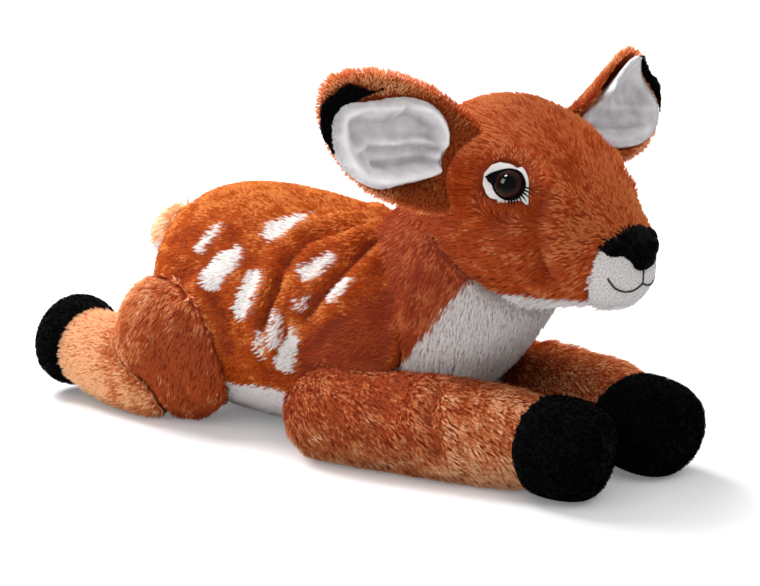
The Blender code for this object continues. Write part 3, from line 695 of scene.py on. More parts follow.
def outline_depth(points: np.ndarray, outline: Outline) -> np.ndarray:
    """Return how deep flat points lie inside a closed outline, negative outside."""
    within = np.zeros(len(points), bool)
    x, y = points[:, 0], points[:, 1]
    for (x1, y1), (x2, y2) in zip(outline, (*outline[1:], outline[0])):
        if y1 != y2:
            within ^= ((y1 > y) != (y2 > y)) & (x < (x2 - x1) * (y - y1) / (y2 - y1) + x1)
    return flat_distance(points, (*outline, outline[0])) * np.where(within, 1.0, -1.0)


def smoothstep(values: np.ndarray, low: float, high: float) -> np.ndarray:
    """Return 0 below low, 1 above high and a soft step between them."""
    share = np.clip((values - low) / (high - low), 0.0, 1.0)
    return share * share * (3.0 - 2.0 * share)


class Form:
    """A closed soft form made from the union of CAD nodes and worked as an array of points in mm."""

    def __init__(self, name: str, nodes: Sequence[str], voxel: float, extra: Sequence[str] = (),
                 shape: bmesh.types.BMesh | None = None) -> None:
        """Remesh the nodes, or a shape that takes their place, into one form.

        Args:
            name: name of the piece.
            nodes: CAD nodes that the form takes the place of.
            voxel: distance between its points in mm.
            extra: further CAD nodes that are only filled in.
            shape: what is remeshed instead of the nodes.
        """
        self.nodes = tuple(nodes)
        self.near = set(nodes) | set(extra)
        if shape is None:
            shape = bmesh.new()
            for node in (*nodes, *extra):
                shape.from_mesh(frame["nodes"][node].data)
            bmesh.ops.remove_doubles(shape, verts=shape.verts, dist=0.001 * MM)
        mesh = modified(name, to_mesh("rough", shape), "REMESH", {"mode": "VOXEL", "voxel_size": voxel * MM})
        self.piece = linked(name, mesh)
        mesh.shade_smooth()
        self.points = self.read(mesh.vertices, "co") / MM
        pairs = np.empty(len(mesh.edges) * 2, np.int32)
        mesh.edges.foreach_get("vertices", pairs)
        self.pairs = pairs.reshape(-1, 2)
        self.degree = np.bincount(pairs, minlength=len(self.points)).clip(1)

    @staticmethod
    def read(vertices: bpy.types.MeshVertices, name: str) -> np.ndarray:
        """Return a vector of each vertex."""
        flat = np.empty(len(vertices) * 3, np.float32)
        vertices.foreach_get(name, flat)
        return flat.reshape(-1, 3).astype(float)

    def write(self) -> None:
        """Write the points back into the mesh."""
        self.piece.data.vertices.foreach_set("co", (self.points * MM).astype(np.float32).ravel())
        self.piece.data.update()

    def normals(self) -> np.ndarray:
        """Return the direction that each point faces."""
        self.write()
        return self.read(self.piece.data.vertices, "normal")

    def averaged(self, values: np.ndarray, steps: int, share: float = 0.6) -> np.ndarray:
        """Spread values to neighbours.

        Args:
            values: one number, or one row, for each point.
            steps: how often.
            share: how much of the neighbours' mean each step takes.

        Returns:
            The smoothed values.
        """
        first, second = self.pairs.T
        columns = values.reshape(len(values), -1).astype(float).copy()
        for _ in range(steps):
            for i in range(columns.shape[1]):
                column = columns[:, i]
                total = np.bincount(first, column[second], len(column))
                total += np.bincount(second, column[first], len(column))
                columns[:, i] = column * (1.0 - share) + share * total / self.degree
        return columns.reshape(values.shape)

    def relax(self, steps: int) -> None:
        """Smooth the form."""
        self.points = self.averaged(self.points, steps)

    def clearance(self, reach: float, ignored: Sequence[str] = ()) -> np.ndarray:
        """Measure the free way outwards from each point.

        Args:
            reach: longest way that counts, in mm.
            ignored: CAD nodes that don't stand in the way.

        Returns:
            Free way in mm, at most the reach.
        """
        normals = self.normals()
        free = np.full(len(self.points), reach)
        known = self.near | set(ignored)
        corners = []
        faces = []
        for item in [item for name, item in frame["nodes"].items() if name not in known]:
            start = len(corners)
            corners += [vertex.co for vertex in item.data.vertices]
            faces += [[start + i for i in face.vertices] for face in item.data.polygons]
        around = BVHTree.FromPolygons(corners, faces)
        back = 1.5
        for i, (point, normal) in enumerate(zip(self.points, normals)):
            hit = around.ray_cast(Vector(point - normal * back) * MM, Vector(normal), (reach + back) * MM)
            if hit[0] is not None:
                free[i] = max(0.0, hit[3] / MM - back)
        falling = np.where(normals[:, 2] < -0.05, self.points[:, 2] / np.maximum(-normals[:, 2], 0.05), reach)
        return np.minimum(free, np.clip(falling, 0.0, reach))

    def swell(self, amounts: np.ndarray) -> None:
        """Move each point outwards by its amount in mm."""
        self.points = self.points + self.normals() * amounts[:, None]

    def crease(self, *creases: Crease) -> None:
        """Press creases into the form and raise their lips."""
        depth = np.zeros(len(self.points))
        for crease in creases:
            away = path_distance(self.points, crease.path)
            groove = np.exp(-(away / crease.width) ** 2)
            lip = np.exp(-((away - 2.1 * crease.width) / crease.width) ** 2)
            depth += crease.depth * (crease.lip * lip - groove)
        self.swell(depth)

    def bulge(self, *bulges: Bulge) -> None:
        """Raise bulges and their mirror images on the form."""
        height = np.zeros(len(self.points))
        for bulge in (*bulges, *(bulge.moved(-1.0) for bulge in bulges)):
            away = np.linalg.norm(self.points - np.array(bulge.centre), axis=1)
            height += bulge.height * np.exp(-(away / bulge.radius) ** 2)
        self.swell(height)

    def relief(self, steps: int = 20, most: float = 2.4) -> np.ndarray:
        """Return how far each point stands out of its surroundings or lies in them, from -1 to 1."""
        proud = np.sum((self.points - self.averaged(self.points, steps)) * self.normals(), axis=1)
        return np.clip((proud - np.median(proud)) / most, -1.0, 1.0)

    def draw_in(self, inset: float | np.ndarray, free: np.ndarray, most: float = 9.0) -> None:
        """Move the free parts in, to make room for the pile, and leave those that touch a neighbour."""
        share = 0.15 + 0.85 * smoothstep(free, 1.0, most)
        self.swell(-inset * self.averaged(share, 6))

    def cover(self, free: np.ndarray) -> np.ndarray:
        """Return how long the pile may be, from the free way in front of each point in mm."""
        return self.averaged(smoothstep(free, 0.0, 0.8) * (0.55 + 0.45 * smoothstep(free, 0.8, 6.0)), 2)

    def store(self, **attributes: float | np.ndarray) -> None:
        """Keep attributes of the mesh: one number for all points, or a number or vector for each."""
        kept = self.piece.data.attributes
        for name, given in attributes.items():
            values = np.full(len(self.points), given) if np.ndim(given) == 0 else given
            kind, part = ("FLOAT", "value") if values.ndim == 1 else ("FLOAT_VECTOR", "vector")
            known = kept.get(name) or kept.new(name, kind, "POINT")
            known.data.foreach_set(part, values.astype(np.float32).ravel())

    def comb(self, flow: Point | np.ndarray) -> None:
        """Keep the pile's direction: the flow laid along the surface."""
        normals = self.normals()
        along = flow - normals * np.sum(flow * normals, axis=1)[:, None]
        self.store(comb=along / np.maximum(np.linalg.norm(along, axis=1), 0.15)[:, None])


@dataclass
class StuffedPart:
    """A stuffed part of the toy.

    Attributes:
        weaver: grows the pile.
        side: left or right, or nothing for a part in the middle.
        limb: CAD body that it moves with, without its side.
        inset: how far the backing lies under the pile's surface, in mm.
        voxel: distance between the form's points in mm.
    """

    weaver: Weaver
    side: str = ""
    limb: str = ""
    inset: float = 4.0
    voxel: float = 2.4

    def sided(self, name: str) -> str:
        """Return a name with the part's side behind it."""
        return f"{name}_{self.side}" if self.side else name

    def stuffed(self, name: str, nodes: Sequence[str], steps: int) -> tuple[Form, np.ndarray]:
        """Make a form that is drawn in to leave room for its pile.

        Args:
            name: name of the piece.
            nodes: CAD nodes that it stands for.
            steps: how often it is smoothed.

        Returns:
            The form, and the free way in front of each of its points in mm.
        """
        form = Form(name, nodes, self.voxel)
        form.relax(steps)
        free = form.clearance(FREE_WAY)
        form.draw_in(self.inset, free)
        return form, free

    def dress(self, form: Form, look: Backing | Felt, slot: str, fill: float = 0.8) -> None:
        """Finish a form as the piece that stands for its nodes.

        Args:
            form: the form.
            look: what it is made of.
            slot: the record's material slot; not used.
            fill: how tightly it is stuffed; not used.
        """
        form.write()
        form.piece.data.materials.clear()
        form.piece.data.materials.append(look.material())
        hand_over(form.piece, self.sided(self.limb), slot, *form.nodes)

    def pile(self, form: Form, name: str, palette: Palette, lay: Lay, slot: str,
             halves: bool = False) -> None:
        """Grow a form's pile and let it ride.

        Args:
            form: form with its attributes.
            name: name of the piece.
            palette: shades.
            lay: kind of pile.
            slot: the record's material slot; not used.
            halves: make the left and right half one piece each.
        """
        parts = {f"{name}_{key}": side for key, side in SIDES.items()} if halves else {name: 0.0}
        for label, side in parts.items():
            piece = self.weaver.grow(form, label, palette, lay.value, side)
            # Light passes through fine fibres, so they cast no shadow on each other; the fabric still does
            piece.visible_shadow = False
            hand_over(piece, self.sided(self.limb), slot)

    def hoof(self, kind: str, flow: Point) -> None:
        """Make a hoof in black velvet.

        Args:
            kind: its CAD node without the side.
            flow: direction that its pile is combed in.
        """
        hoof = Form(self.sided(f"{kind}_velvet"), (self.sided(kind),), HOOF_VOXEL)
        hoof.relax(5)
        free = hoof.clearance(HOOF_FREE_WAY)
        hoof.draw_in(HOOF_INSET, free, HOOF_OPEN_AIR)
        hoof.store(white=0.0, tone=0.0, pile=hoof.averaged(smoothstep(free, 0.4, 3.5), 1))
        hoof.comb(flow)
        self.dress(hoof, black_velvet(hoof.piece.name, 0.9), "black_velvet", 0.9)
        self.pile(hoof, self.sided(f"{kind}_pile"), BLACK, Lay.VELVET, "black_velvet")


@dataclass(frozen=True)
class EyeSeat:
    """Directions of an eye: forward to its front corner, up and out of the head, from its centre in mm."""

    centre: np.ndarray
    forward: np.ndarray
    up: np.ndarray
    out: np.ndarray
    top: float

    @classmethod
    def of(cls, side: str) -> "EyeSeat":
        """Read the seat of one eye from its CAD node."""
        points = np.array([vertex.co for vertex in frame["nodes"][f"eye_{side}"].data.vertices]) / MM
        centre = points.mean(axis=0)
        _, _, axes = np.linalg.svd(points - centre)
        out = max(axes, key=lambda axis: np.ptp((points - centre) @ axis))
        if out[1] * SIDES[side] < 0.0:
            out = -out
        forward = np.array((1.0, 0.0, -0.25))
        forward = forward - out * (forward @ out)
        forward /= np.linalg.norm(forward)
        up = np.cross(out, forward)
        if up[2] < 0.0:
            up = -up
        return cls(centre, forward, up, out, float(((points - centre) @ out).max()))

    def chart(self, points: np.ndarray) -> np.ndarray:
        """Return how far points lie forward and up of the eye."""
        offset = points - self.centre
        return np.stack([offset @ self.forward, offset @ self.up], axis=1)


@dataclass(frozen=True)
class Spot:
    """A white spot: the ends of its long middle line, the radius at each end in mm, and how white it is."""

    start: Point
    end: Point
    start_radius: float
    end_radius: float
    strength: float = 1.0

    def cover(self, points: np.ndarray) -> np.ndarray:
        """Return how white the spot makes each point."""
        away, share = segment_distance(points, self.start, self.end)
        radius = self.start_radius + (self.end_radius - self.start_radius) * share
        return self.strength * (1.0 - smoothstep(away - radius, -1.6, 1.8))


@dataclass
class Torso(StuffedPart):
    """Body of the toy, spotted above and white below, with folds that run to the shoulder.

    Attributes:
        belly_seam: height of the seam between the spotted and the white plush, in mm.
        comb_drift: way from a fibre's root to its tip, in mm.
        mirror_shift: how far the left side's spots are moved from the right side's, in mm.
        flank_from: how far from the middle a spot starts that the left side has too, in mm.
        shoulder_outline: the shoulder's darker plush, its own rust with painted shade, ahead and up in mm.
    """

    limb: str = "torso"
    belly_seam: float = 34.0
    comb_drift: Point = (-2.8, 0.0, -1.6)
    mirror_shift: Point = (5.0, 0.0, -2.0)
    flank_from: float = 20.0
    shoulder_outline: Outline = (
        (102.9, 126.2), (99.2, 113.6), (87.8, 102.2), (67.6, 92.1), (51.0, 79.5), (42.9, 67.5), (40.3, 53.0),
        (37.7, 37.6), (40.0, -20.0), (170.0, -20.0), (170.0, 170.0),
    )
    bulges: tuple[Bulge, ...] = (
        Bulge((62, -72, 70), 15.0, 7.0), Bulge((84, -70, 68), 16.0, 7.0), Bulge((78, -66, 92), 18.0, 3.5),
    )
    spots: tuple[Spot, ...] = (
        Spot((3, -45, 134), (18, -25, 145), 9.0, 5.0),
        Spot((-39, -33, 144), (-31, -18, 151), 3.6, 3.0),
        Spot((-15, -10, 152), (-8, -8, 152), 3.4, 3.0, 0.7),
        Spot((-48, -59, 117), (-39, -49, 132), 5.4, 4.6),
        Spot((-66, -43, 132), (-61, -39, 137), 3.6, 3.2, 0.8),
        Spot((-30, -66, 103), (-19, -61, 117), 9.8, 8.8),
        Spot((-2, -71, 87), (3, -65, 106), 8.0, 7.4),
        Spot((41, -57, 114), (51, -49, 123), 7.0, 5.0),
        Spot((62, -60, 104), (68, -54, 112), 6.2, 5.0),
        Spot((41, -67, 93), (52, -62, 101), 4.4, 4.4, 0.6),
        Spot((24, -70, 69), (27, -69, 85), 4.2, 3.8, 0.9),
        Spot((11, -69, 58), (15, -71, 71), 5.0, 4.4, 0.6),
        Spot((30, -68, 54), (38, -70, 73), 7.6, 7.0),
        Spot((-62, -2, 152), (-50, 4, 153), 5.2, 4.4),
        Spot((-86, -14, 134), (-82, 2, 138), 4.2, 4.2, 0.8),
    )
    creases: tuple[Crease, ...] = (
        Crease(((72, -27, 135), (67, -45, 123), (63, -54, 114), (55, -62, 100), (50, -66, 90)),
               5.4, 7.5, 0.45),
        Crease(((56, -20, 141), (41, -34, 137), (31, -43, 132), (25, -54, 122), (24, -65, 102),
                (17, -70, 84)), 5.4, 7.0, 0.45),
        Crease(((24, -64, 104), (21, -69, 92), (17, -71, 74)), 4.6, 6.0, 0.4),
        Crease(((36, -66, 98), (35, -69, 77), (28, -70, 64)), 4.4, 4.5, 0.4),
        Crease(((-24, -70, 92), (-14, -72, 76), (-10, -72, 58)), 6.0, 4.0),
        Crease(((-58, -66, 100), (-44, -66, 108), (-30, -60, 120), (-18, -50, 132)), 7.0, 2.6),
    )

    def build(self) -> None:
        """Make the body's form, its spots and its pile."""
        form, free = self.stuffed("torso_fabric", ("back_panel", "belly_panel", "body_stuffing"), 6)
        form.crease(*self.creases, *(crease.moved(-1.0) for crease in self.creases[:3]))
        form.bulge(*self.bulges)
        form.relax(1)
        x, _, z = form.points.T
        wave = 1.5 * np.sin(x / 9.0)
        bib = form.points @ np.array(BIB_NORMAL) - BIB_OFFSET
        white = np.maximum(1.0 - smoothstep(z - wave, self.belly_seam - 2.0, self.belly_seam + 2.0),
                           smoothstep(bib, -1.0, 2.0))
        # A fibre shows its colour where its tip lies, a little further along the comb than its root
        seen = form.points + np.array(self.comb_drift)
        mirror = seen * np.array((1.0, -1.0, 1.0)) + np.array(self.mirror_shift)
        for spot in self.spots:
            white = np.maximum(white, spot.cover(seen))
            if abs(spot.start[1]) > self.flank_from:
                white = np.maximum(white, spot.cover(mirror))
        shoulder = smoothstep(outline_depth(seen[:, [0, 2]], self.shoulder_outline), -4.0, 7.0)
        # Painted light: the pile is lighter towards the rump and the top, where light from behind and above
        # falls, and relief paints highlights on ridges and shade in creases
        painted_rump_light = smoothstep(-x, 60.0, 110.0)
        top = smoothstep(z, 120.0, 150.0)
        relief = form.relief()
        form.store(white=white, tone=-0.06 + 0.28 * painted_rump_light + 0.32 * top + 0.26 * relief, pile=form.cover(free))
        form.comb((-1.0, 0.0, -0.45))
        self.dress(form, Backing("orange_knit_backing", "#8c3f12", "#b8601f"), "spotted_plush")
        form.store(share=1.0 - shoulder)
        self.pile(form, "torso_pile", SPOTTED, Lay.SHORN, "spotted_plush", halves=True)
        # The shoulder's own rust, drawn in the darker copy of the rust pile and lowered further as painted
        # shade
        form.store(share=shoulder, tone=0.30 * relief - 0.22)
        self.pile(form, "shoulder_pile", SHADED, Lay.SHORN, "rust_plush")


@dataclass
class Neck(StuffedPart):
    """Neck in rust plush with a white bib in front, both drawn darker as painted shade under the head."""

    limb: str = "neck"

    def build(self) -> None:
        """Make the neck's form and its pile."""
        form, free = self.stuffed("neck_fabric", ("neck_panel", "bib_panel", "neck_stuffing"), 6)
        white = smoothstep(form.points @ np.array(BIB_NORMAL) - BIB_OFFSET, -1.2, 1.6)
        # Relief paints highlights on ridges and shade in hollows; the darker palette with greyer whites is
        # painted shade
        form.store(white=white, tone=0.04 + 0.25 * form.relief(), pile=form.cover(free))
        form.comb(np.array((-0.4, 0.0, -1.0)) * (1.0 - white)[:, None]
                  + np.array((-0.25, 0.0, -1.0)) * white[:, None])
        self.dress(form, Backing("rust_knit_backing_neck"), "rust_plush")
        self.pile(form, "neck_pile", SHADED, Lay.PLUSH, "rust_plush")


@dataclass
class Head(StuffedPart):
    """Head in rust plush with a shorn white muzzle, a white jaw and hollows for the eyes.

    Attributes:
        muzzle_centre: middle of the ball that the white muzzle lies in, in mm.
        muzzle_radius: its radius.
        jaw_seam: height of the seam above the white jaw.
        nose_line: height up to which the muzzle is white.
        felt_hollow: how deep the skin is pressed in under the eyes' felt.
        nose_tip: where the pile is combed away from.
        felt_outline: where the pile ends round the felt, forward and up of the eye.
    """

    limb: str = "head"
    muzzle_centre: Point = (262.0, 0.0, 127.0)
    muzzle_radius: float = 43.5
    jaw_seam: float = 117.0
    nose_line: float = 151.0
    felt_hollow: float = 3.0
    nose_tip: Point = (258.0, 0.0, 146.0)
    felt_outline: Outline = (
        (-20.4, 2.0), (-17.0, 7.4), (-10.0, 12.0), (-3.0, 13.0), (3.6, 10.8), (7.8, 7.2), (10.4, 3.0),
        (12.4, -1.8), (14.6, -6.0), (10.8, -4.6), (7.8, -5.2), (4.2, -7.2), (0.5, -9.6), (-7.0, -13.4),
        (-14.0, -12.4), (-18.0, -6.6),
    )
    creases: tuple[Crease, ...] = (
        Crease(((210, -41, 182), (208, -46, 170), (207, -48, 159), (208, -46, 147), (210, -40, 131)),
               6.0, 6.0, 0.5),
        Crease(((206, -44, 178), (196, -51, 170), (184, -56, 166)), 6.0, 3.0, 0.3),
    )
    bulges: tuple[Bulge, ...] = (
        Bulge((180, -54, 142), 24.0, 3.6), Bulge((226, -36, 146), 13.0, 3.0),
        Bulge((196, -34, 208), 18.0, 2.2),
    )

    def build(self) -> None:
        """Make the head's form, its muzzle and its pile."""
        inner = [f"{part}_{side}" for part in ("eye_patch", "eye_washer") for side in SIDES]
        form = Form("head_fabric", ("head_panel", "jaw_panel", "muzzle_panel", "head_stuffing"), 2.0, inner)
        form.relax(8)
        on_face = [name for name in frame["nodes"] if name.startswith(("eye_", "nose"))]
        free = form.clearance(FREE_WAY, on_face)
        seats = [EyeSeat.of(side) for side in SIDES]
        to_eye = np.min([np.linalg.norm(form.points - seat.centre, axis=1) for seat in seats], axis=0)
        shallow = np.exp(-(to_eye / 20.0) ** 2)
        ball = self.muzzle_radius - np.linalg.norm(form.points - np.array(self.muzzle_centre), axis=1)
        under_nose = 1.0 - smoothstep(form.points[:, 2], self.nose_line - 1.0, self.nose_line + 1.5)
        muzzle = smoothstep(ball, -1.0, 1.4) * under_nose
        form.draw_in(self.inset - 1.5 * shallow - 2.4 * muzzle, free)
        form.crease(*self.creases, *(crease.moved(-1.0) for crease in self.creases))
        form.bulge(*self.bulges)
        x, _, z = form.points.T
        jaw = 1.0 - smoothstep(z, self.jaw_seam - 1.0, self.jaw_seam + 2.0)
        # Painted light: the pile is lighter on the brow and on the bridge of the nose, where light from above
        # and the side falls, and relief paints highlights on ridges and shade in creases
        painted_brow_light = 0.30 * smoothstep(z, 176.0, 214.0) + 0.12 * smoothstep(x, 205.0, 235.0)
        painted_bridge_light = smoothstep(x, 205.0, 236.0) * smoothstep(z, 142.0, 164.0)
        form.store(white=np.maximum(muzzle, jaw), tone=painted_brow_light - 0.04 + 0.52 * painted_bridge_light + 0.30 * form.relief())
        long_pile = form.cover(free)
        chin = 1.0 - smoothstep(z, 109.0, 119.0)
        felt = self.felt(form, seats)
        form.store(pile=long_pile * (1.0 - muzzle * (1.0 - chin)) * felt * (1.0 + 0.35 * chin))
        form.comb(self.flow(form, [seat.centre for seat in seats]))
        self.dress(form, Backing("rust_knit_backing_head"), "rust_plush")
        self.pile(form, "head_pile", RUST, Lay.PLUSH, "rust_plush", halves=True)
        form.store(pile=long_pile * smoothstep(ball, -0.5, 1.0) * under_nose)
        self.pile(form, "muzzle_pile", WHITE, Lay.VELOUR, "white_plush")

    def felt(self, form: Form, seats: Sequence[EyeSeat]) -> np.ndarray:
        """Press the skin in under the felt and return how long the pile is round it.

        Args:
            form: form of the head.
            seats: both eyes' seats.

        Returns:
            A share of the pile's length for each point.
        """
        bare = np.max([np.where((form.points - seat.centre) @ seat.out > -16.0,
                                outline_depth(seat.chart(form.points), self.felt_outline), -50.0)
                       for seat in seats], axis=0)
        for seat in seats:
            deep = smoothstep(outline_depth(seat.chart(form.points), self.felt_outline), -2.0, 1.0)
            deep *= smoothstep((form.points - seat.centre) @ seat.out, -18.0, -14.0)
            form.points -= seat.out[None, :] * (self.felt_hollow * deep)[:, None]
        charts = [seat.chart(form.points) for seat in seats]
        under = np.max([(1.0 - smoothstep(chart[:, 1], -8.0, 0.0)) * (1.0 - smoothstep(chart[:, 0], 2.0, 8.0))
                        for chart in charts], axis=0)
        ahead = np.max([smoothstep(chart[:, 0], 5.0, 10.0) for chart in charts], axis=0)
        short_rim = 0.40 + 0.40 * under - 0.20 * ahead
        return smoothstep(-bare, -0.6, 0.9) * (short_rim + (1.0 - short_rim) * smoothstep(-bare, 0.0, 9.0))

    def flow(self, form: Form, eyes: Sequence[np.ndarray]) -> np.ndarray:
        """Return the pile's directions: away from the nose, and over the felt below each eye."""
        away = form.points - np.array(self.nose_tip)
        away /= np.linalg.norm(away, axis=1)[:, None]
        away[:, 2] -= 0.25
        for eye in eyes:
            inward = eye - form.points
            reach = np.linalg.norm(inward, axis=1)
            inward /= np.maximum(reach, 1.0)[:, None]
            near = (1.0 - smoothstep(reach, 17.0, 26.0))[:, None]
            below = smoothstep(eye[2] - form.points[:, 2], 4.0, 10.0)[:, None]
            away = away * (1.0 - near) + inward * (near * (2.0 * below - 1.0))
        return away


@dataclass
class Nose(StuffedPart):
    """Black velvet nose: a wide rounded pad that narrows to the mouth's seam.

    Attributes:
        lobes: centre and radii of each rounded lobe, in mm.
    """

    limb: str = "head"
    lobes: tuple[tuple[Point, Point], ...] = (
        ((237.0, 0.0, 151.5), (13.0, 20.0, 9.5)),
        ((243.0, 0.0, 148.5), (13.0, 17.0, 9.5)),
        ((246.0, 0.0, 142.5), (9.5, 11.0, 8.0)),
        ((236.0, 17.5, 150.0), (10.0, 10.0, 7.0)),
        ((236.0, -17.5, 150.0), (10.0, 10.0, 7.0)),
    )

    def build(self) -> None:
        """Make the nose from rounded lobes and cover it with short pile."""
        shape = bmesh.new()
        for centre, radii in self.lobes:
            place = Matrix.Translation(Vector(centre) * MM) @ Matrix.Diagonal((*radii, 1.0))
            bmesh.ops.create_uvsphere(shape, u_segments=32, v_segments=20, radius=MM, matrix=place)
        form = Form("nose_velvet", ("nose",), 1.1, shape=shape)
        form.relax(7)
        form.store(white=0.0, tone=0.0, pile=0.55)
        form.comb((-0.2, 0.0, -1.0))
        self.dress(form, black_velvet("nose"), "black_velvet", 0.9)
        self.pile(form, "nose_pile", BLACK, Lay.VELVET, "black_velvet")


@dataclass
class Ear(StuffedPart):
    """Ear with a plush back, a black velvet tip and a folded white lining.

    Attributes:
        base: where the ear is sewn on, in mm.
        along: direction of its length.
        face: direction that the hollow faces.
        length: from the root to the tip, in mm.
        half_width: of the ear at its widest, in mm.
        rim_inset: how far the backing's rim lies inside the pile's outline, in mm.
        lining_edge: outline of the lining, along the ear and above its middle in mm.
        tip_edge: outline of the velvet tip in the same measure.
        layer_fits: for an ear without outlines, the share by which lining and tip are shorter and narrower
            than their CAD bodies and how far they lie below the middle in mm.
        fold_height: how high the lining's rolled edge and folds are, as a share.
        corner: where the ear's outline is squared out, in the same measure.
        corner_reach: how far round the corner the outline moves, in mm.
        corner_push: how far the corner moves out, in mm.
    """

    limb: str = "ear"
    base: Point = (146.0, -50.0, 190.0)
    along: Point = (-0.27, -0.83, 0.48)
    face: Point = (0.93, -0.30, 0.0)
    length: float = 102.0
    half_width: float = 38.0
    rim_inset: float = 3.2
    lining_edge: Outline = (
        (93.6, -2.7), (92.0, 2.1), (88.1, 5.8), (80.1, 10.0), (71.0, 15.3), (63.4, 20.5), (58.0, 23.5),
        (50.4, 25.7), (42.0, 26.5), (33.8, 24.5), (25.9, 20.2), (20.1, 15.6), (16.7, 10.0), (15.0, 4.1),
        (13.5, -2.8), (15.5, -7.5), (22.0, -12.7), (33.6, -20.7), (41.2, -26.2), (50.6, -31.4), (60.0, -33.2),
        (68.8, -32.7), (76.5, -31.1), (82.7, -27.5), (87.5, -22.7), (91.7, -16.2), (94.0, -9.7),
    )
    tip_edge: Outline = (
        (62.0, 22.0), (68.8, 21.6), (78.2, 20.1), (87.3, 17.9), (96.1, 14.1), (101.0, 10.6), (103.7, 5.4),
        (105.7, 0.0), (105.9, -4.2), (102.6, -10.9), (97.1, -18.0), (91.6, -23.6), (86.0, -27.0),
        (79.0, -27.5), (72.1, -24.4), (70.2, -15.8), (70.5, -6.0), (66.0, 3.0), (61.7, 11.5), (58.6, 18.0),
    )
    layer_fits: tuple[Point, ...] = ()
    fold_height: float = 1.0
    corner: tuple[float, float] = (104.0, 20.0)
    corner_reach: float = 30.0
    corner_push: float = 9.0

    @cached_property
    def axes(self) -> tuple[np.ndarray, np.ndarray, np.ndarray]:
        """Unit directions along, across and out of the hollow."""
        along = np.array(self.along) / np.linalg.norm(self.along)
        face = np.array(self.face) - along * (along @ np.array(self.face))
        face /= np.linalg.norm(face)
        return along, np.cross(along, face), face

    @cached_property
    def plane(self) -> np.ndarray:
        """Directions along the ear and up across it, one in each row."""
        along, width, _ = self.axes
        return np.stack([along, width * -SIDES[self.side]])

    def laid_out(self, form: Form) -> np.ndarray:
        """Return each point's distances along the ear and above its middle, in mm."""
        return (form.points - np.array(self.base)) @ self.plane.T

    def build(self) -> None:
        """Make the ear's back, tip and lining."""
        along, width, face = self.axes
        back = Form(self.sided("ear_back_fabric"), (self.sided("ear_back"),), 1.5)
        back.relax(3)
        free = back.clearance(12.0, (self.sided("ear_tip"), self.sided("ear_lining")))
        offset = back.points - np.array(self.base)
        t, v = offset @ along / self.length, offset @ width / self.half_width
        spine = np.array(self.base) + along * (t * self.length)[:, None]
        narrowed = 1.0 - self.rim_inset / self.half_width * smoothstep(t, 0.05, 0.3)
        back.points = spine + (back.points - spine) * narrowed[:, None]
        back.points -= along * (self.rim_inset * smoothstep(t, 0.45, 1.0))[:, None]
        flat = self.laid_out(back)
        near = np.exp(-np.sum((flat - np.array(self.corner)) ** 2, axis=1) / self.corner_reach ** 2)
        corner_way = (np.array(self.corner) - flat.mean(axis=0)) @ self.plane
        back.points += corner_way / np.linalg.norm(corner_way) * (self.corner_push * near)[:, None]
        layers = (self.velvet(back), self.lining(back))
        frontal = back.averaged(back.normals() @ face, 2)
        # Painted light on the rim, where light shines through the fibres at the outline, and painted shade in
        # the hollow at the root; the pile is also lighter along the outer part of the ear
        rim = 1.0 - smoothstep(np.abs(frontal + 0.1), 0.25, 0.85)
        rim *= smoothstep(np.hypot(np.maximum(t - 0.45, 0.0) / 0.55, v), 0.5, 0.85)
        outer = smoothstep(t, 0.2, 0.6)
        shaded_hollow_root = smoothstep(frontal, 0.2, 0.8) * (1.0 - outer)
        open_air = 1.0 - self.covered(back, layers)
        back.store(white=0.0, tone=-0.16 + 0.55 * rim + 0.35 * outer - 0.25 * shaded_hollow_root,
                   pile=back.averaged(smoothstep(free, 0.6, 6.0) * open_air, 1))
        back.comb((along * np.clip(t - 0.35, 0.15, 1.0)[:, None] + width * (v * 0.9)[:, None]) * 1.6)
        self.dress(back, Backing(self.sided("rust_knit_ear")), "rust_plush", 0.3)
        self.pile(back, self.sided("ear_pile"), RIM, Lay.RIM, "rust_plush")

    @staticmethod
    def covered(back: Form, layers: Sequence[Form], reach: float = 7.0) -> np.ndarray:
        """Return 1 for each point of the back that a layer lies over, and 0 for the others."""
        over = np.zeros(len(back.points))
        normals = back.normals()
        for layer in layers:
            surface = surface_of(layer.piece.data)
            for i, (point, normal) in enumerate(zip(back.points, normals)):
                hit = surface.ray_cast(Vector(point - normal * 2.0) * MM, Vector(normal), reach * MM)
                if hit[0] is not None:
                    over[i] = 1.0
        return over

    def layer(self, kind: str, cloth: str, edge: Outline, fit: int, back: Form) -> Form:
        """Make a layer that lies on the ear's back.

        Args:
            kind: its CAD node without the side.
            cloth: word for its cloth in the piece's name.
            edge: its outline, along the ear and above its middle in mm.
            fit: which of the layer fits it takes.
            back: form of the ear's back.

        Returns:
            The layer's form.
        """
        form = Form(self.sided(f"{kind}_{cloth}"), (self.sided(kind),), 1.2)
        form.relax(2)
        if self.layer_fits:
            shorter, narrower, lower = self.layer_fits[fit]
            drawn = (form.points - form.points.mean(axis=0)) @ self.plane.T * np.array((shorter, narrower))
            form.points -= (drawn + np.array((0.0, lower))) @ self.plane
        else:
            self.cut(form, edge, back)
        return form

